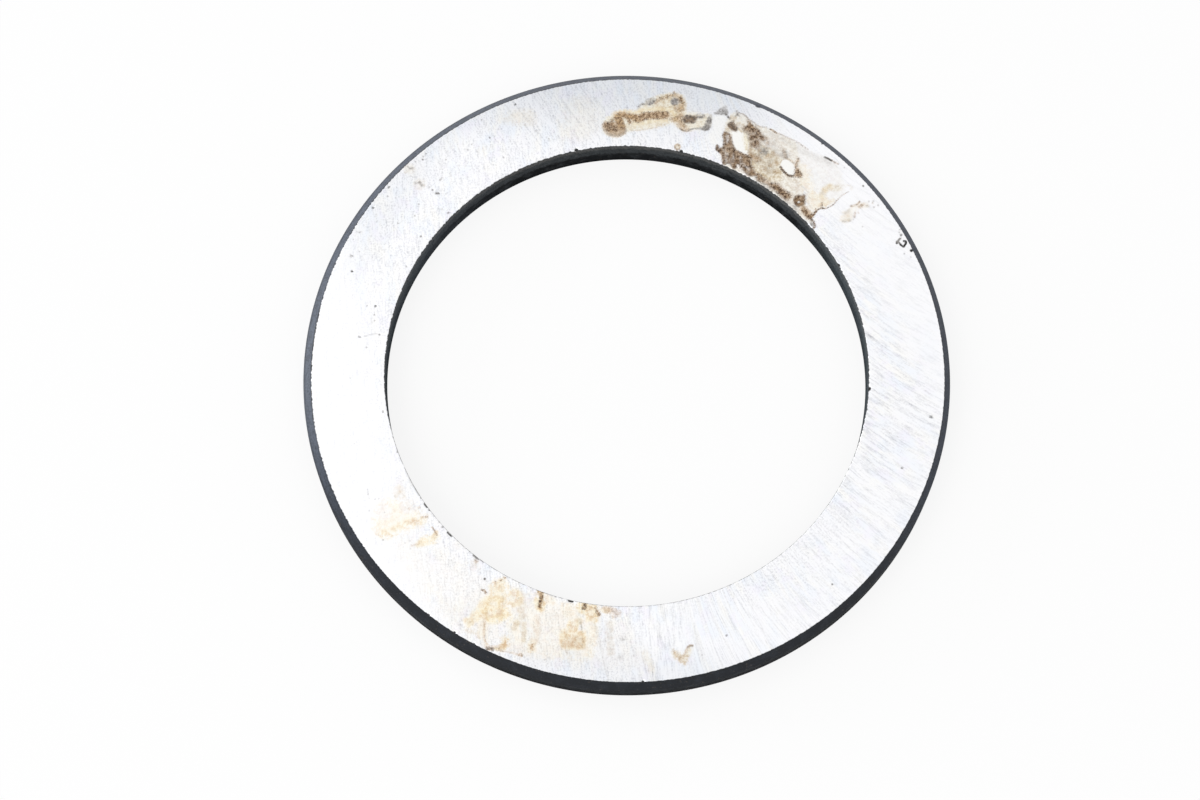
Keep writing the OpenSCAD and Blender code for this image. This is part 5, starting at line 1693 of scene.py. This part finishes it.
@dataclass(frozen=True)
class Lamp:
    """A square soft lamp that points at the ring: its place and side in metres, and how bright it looks."""

    name: str
    place: tuple[float, float, float]
    side: float
    glow: float
    colour: tuple[float, float, float] = (1.0, 1.0, 1.0)

    def build(self) -> bpy.types.Object:
        """Makes the lamp.

        Returns:
            The lamp. Its power is pi times its area times the glow, which is its radiance.
        """
        light = bpy.data.lights.new(self.name, "AREA")
        light.shape, light.size = "SQUARE", self.side
        light.energy = math.pi * self.side**2 * self.glow
        light.color = self.colour
        lamp = bpy.data.objects.new(self.name, light)
        lamp.location = self.place
        lamp.rotation_euler = (-Vector(self.place)).to_track_quat("-Z", "Y").to_euler()
        bpy.context.scene.collection.objects.link(lamp)
        return lamp


@dataclass(frozen=True)
class Studio:
    """The pale floor, the plain surroundings and the soft lamps.

    Floor share is how much of the floor the camera sees as plain white, and surroundings how bright they
    are to the lit surfaces.
    """

    floor_side: float = 4.0
    floor_colour: Colour = srgb(254, 254, 254)
    floor_share: float = 0.86
    surroundings: float = 0.68
    lamps: tuple[Lamp, ...] = (
        Lamp("window", (-0.75, 0.3, 0.9), 0.9, 0.5),
        Lamp("key", (-0.5, -0.6, 0.8), 0.8, 1.5),
        Lamp("left", (-0.95, 0.3, 0.2), 0.35, 8.0, (0.93, 0.97, 1.0)),
    )

    def floor(self) -> bpy.types.Object:
        """Makes the floor.

        Returns:
            A square in the plane of the ring's lower face, part lit and part plain white.
        """
        half = self.floor_side / 2
        mesh = bpy.data.meshes.new("floor")
        corners = [(-half, -half, 0.0), (half, -half, 0.0), (half, half, 0.0), (-half, half, 0.0)]
        mesh.from_pydata(corners, [], [(0, 1, 2, 3)])
        made = bpy.data.materials.new("pale_floor")
        wire = Wiring.cleared(made)
        lit = wire.node("ShaderNodeBsdfDiffuse", {"Color": self.floor_colour}).outputs[0]
        plain = wire.node("ShaderNodeEmission").outputs[0]
        share = wire.times(self.seen(wire), self.floor_share)
        wire.put_on(wire.node("ShaderNodeMixShader", {0: share, 1: lit, 2: plain}))
        mesh.materials.append(made)
        floor = bpy.data.objects.new("floor", mesh)
        bpy.context.scene.collection.objects.link(floor)
        return floor

    @staticmethod
    def seen(wire: Wiring) -> Socket:
        """Which rays see the floor and the surroundings as plain white.

        Args:
            wire: the material's or the world's wiring.

        Returns:
            1 for a ray from the camera, from a mirror or through glass, and 0 for the rest.
        """
        path = wire.node("ShaderNodeLightPath").outputs
        rays = wire.add_up(path["Is Camera Ray"], path["Is Glossy Ray"], path["Is Transmission Ray"])
        return wire.maths("MINIMUM", 1.0, rays)

    def world(self) -> None:
        """Makes the surroundings: white to the camera and reflections, and plain soft light to the rest."""
        world = bpy.data.worlds.new("surroundings")
        wire = Wiring.cleared(world)
        strength = wire.between(self.seen(wire), self.surroundings, 1.0)
        glow = wire.node("ShaderNodeBackground", {"Color": (1.0, 1.0, 1.0, 1.0), "Strength": strength})
        wire.put_on(glow, "ShaderNodeOutputWorld")
        bpy.context.scene.world = world

    def build(self) -> None:
        """Makes everything round the ring and sets how the picture is shown."""
        self.floor()
        self.world()
        for lamp in self.lamps:
            lamp.build()
            log.info("lamp %s at %s", lamp.name, lamp.place)
        bpy.context.scene.view_settings.view_transform = "Standard"


@dataclass(frozen=True)
class Viewpoint:
    """The photo's camera, worked out from the ring's edges in it.

    Wide, focal and the two centres are in pixels, the turns in degrees and the rest in millimetres. The
    camera looks at the picture's middle, and the ring's centre lies off it, to the right and up.
    """

    wide: int = 1200
    focal: float = 2700.0
    distance: float = 375.05
    elevation: float = 71.8635
    roll: float = 1.678
    centre_right: float = 26.63
    centre_up: float = 29.89
    target_height: float = 5.0
    sensor: float = 36.0
    clip: tuple[float, float] = (0.01, 20.0)

    def build(self) -> bpy.types.Object:
        """Makes the camera.

        Returns:
            The camera. Its axes are those of a camera that looks straight at the ring's centre, rolled,
            then turned the shortest way so that the centre falls on its own pixel.
        """
        rise = math.radians(self.elevation)
        back = Vector((0.0, -math.cos(rise), math.sin(rise)))
        right = Vector((1.0, 0.0, 0.0))
        basis = Matrix((right, back.cross(right), back)).transposed()
        sight = Vector((self.centre_right, self.centre_up, -self.focal)).normalized()
        turn = sight.rotation_difference(Vector((0.0, 0.0, -1.0))).to_matrix()
        axes = basis @ Matrix.Rotation(math.radians(self.roll), 3, "Z") @ turn
        lens = bpy.data.cameras.new("photo_camera")
        lens.sensor_width = self.sensor
        lens.lens = self.focal * self.sensor / self.wide
        lens.clip_start, lens.clip_end = self.clip
        camera = bpy.data.objects.new("photo_camera", lens)
        place = (back * self.distance + Vector((0.0, 0.0, self.target_height))) * MM
        camera.matrix_world = Matrix.Translation(place) @ axes.to_4x4()
        bpy.context.scene.collection.objects.link(camera)
        bpy.context.scene.camera = camera
        return camera


def main() -> None:
    """Builds the ring, the studio and the camera in order."""
    logging.basicConfig(level=logging.INFO, format="%(name)s: %(message)s")
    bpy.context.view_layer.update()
    effects = Effects(GrindingWheel().group(), ragged_group(), border_group(), specks_group())
    ShimRing().build(effects)
    Studio().build()
    Viewpoint().build()


if __name__ == "__main__":
    main()
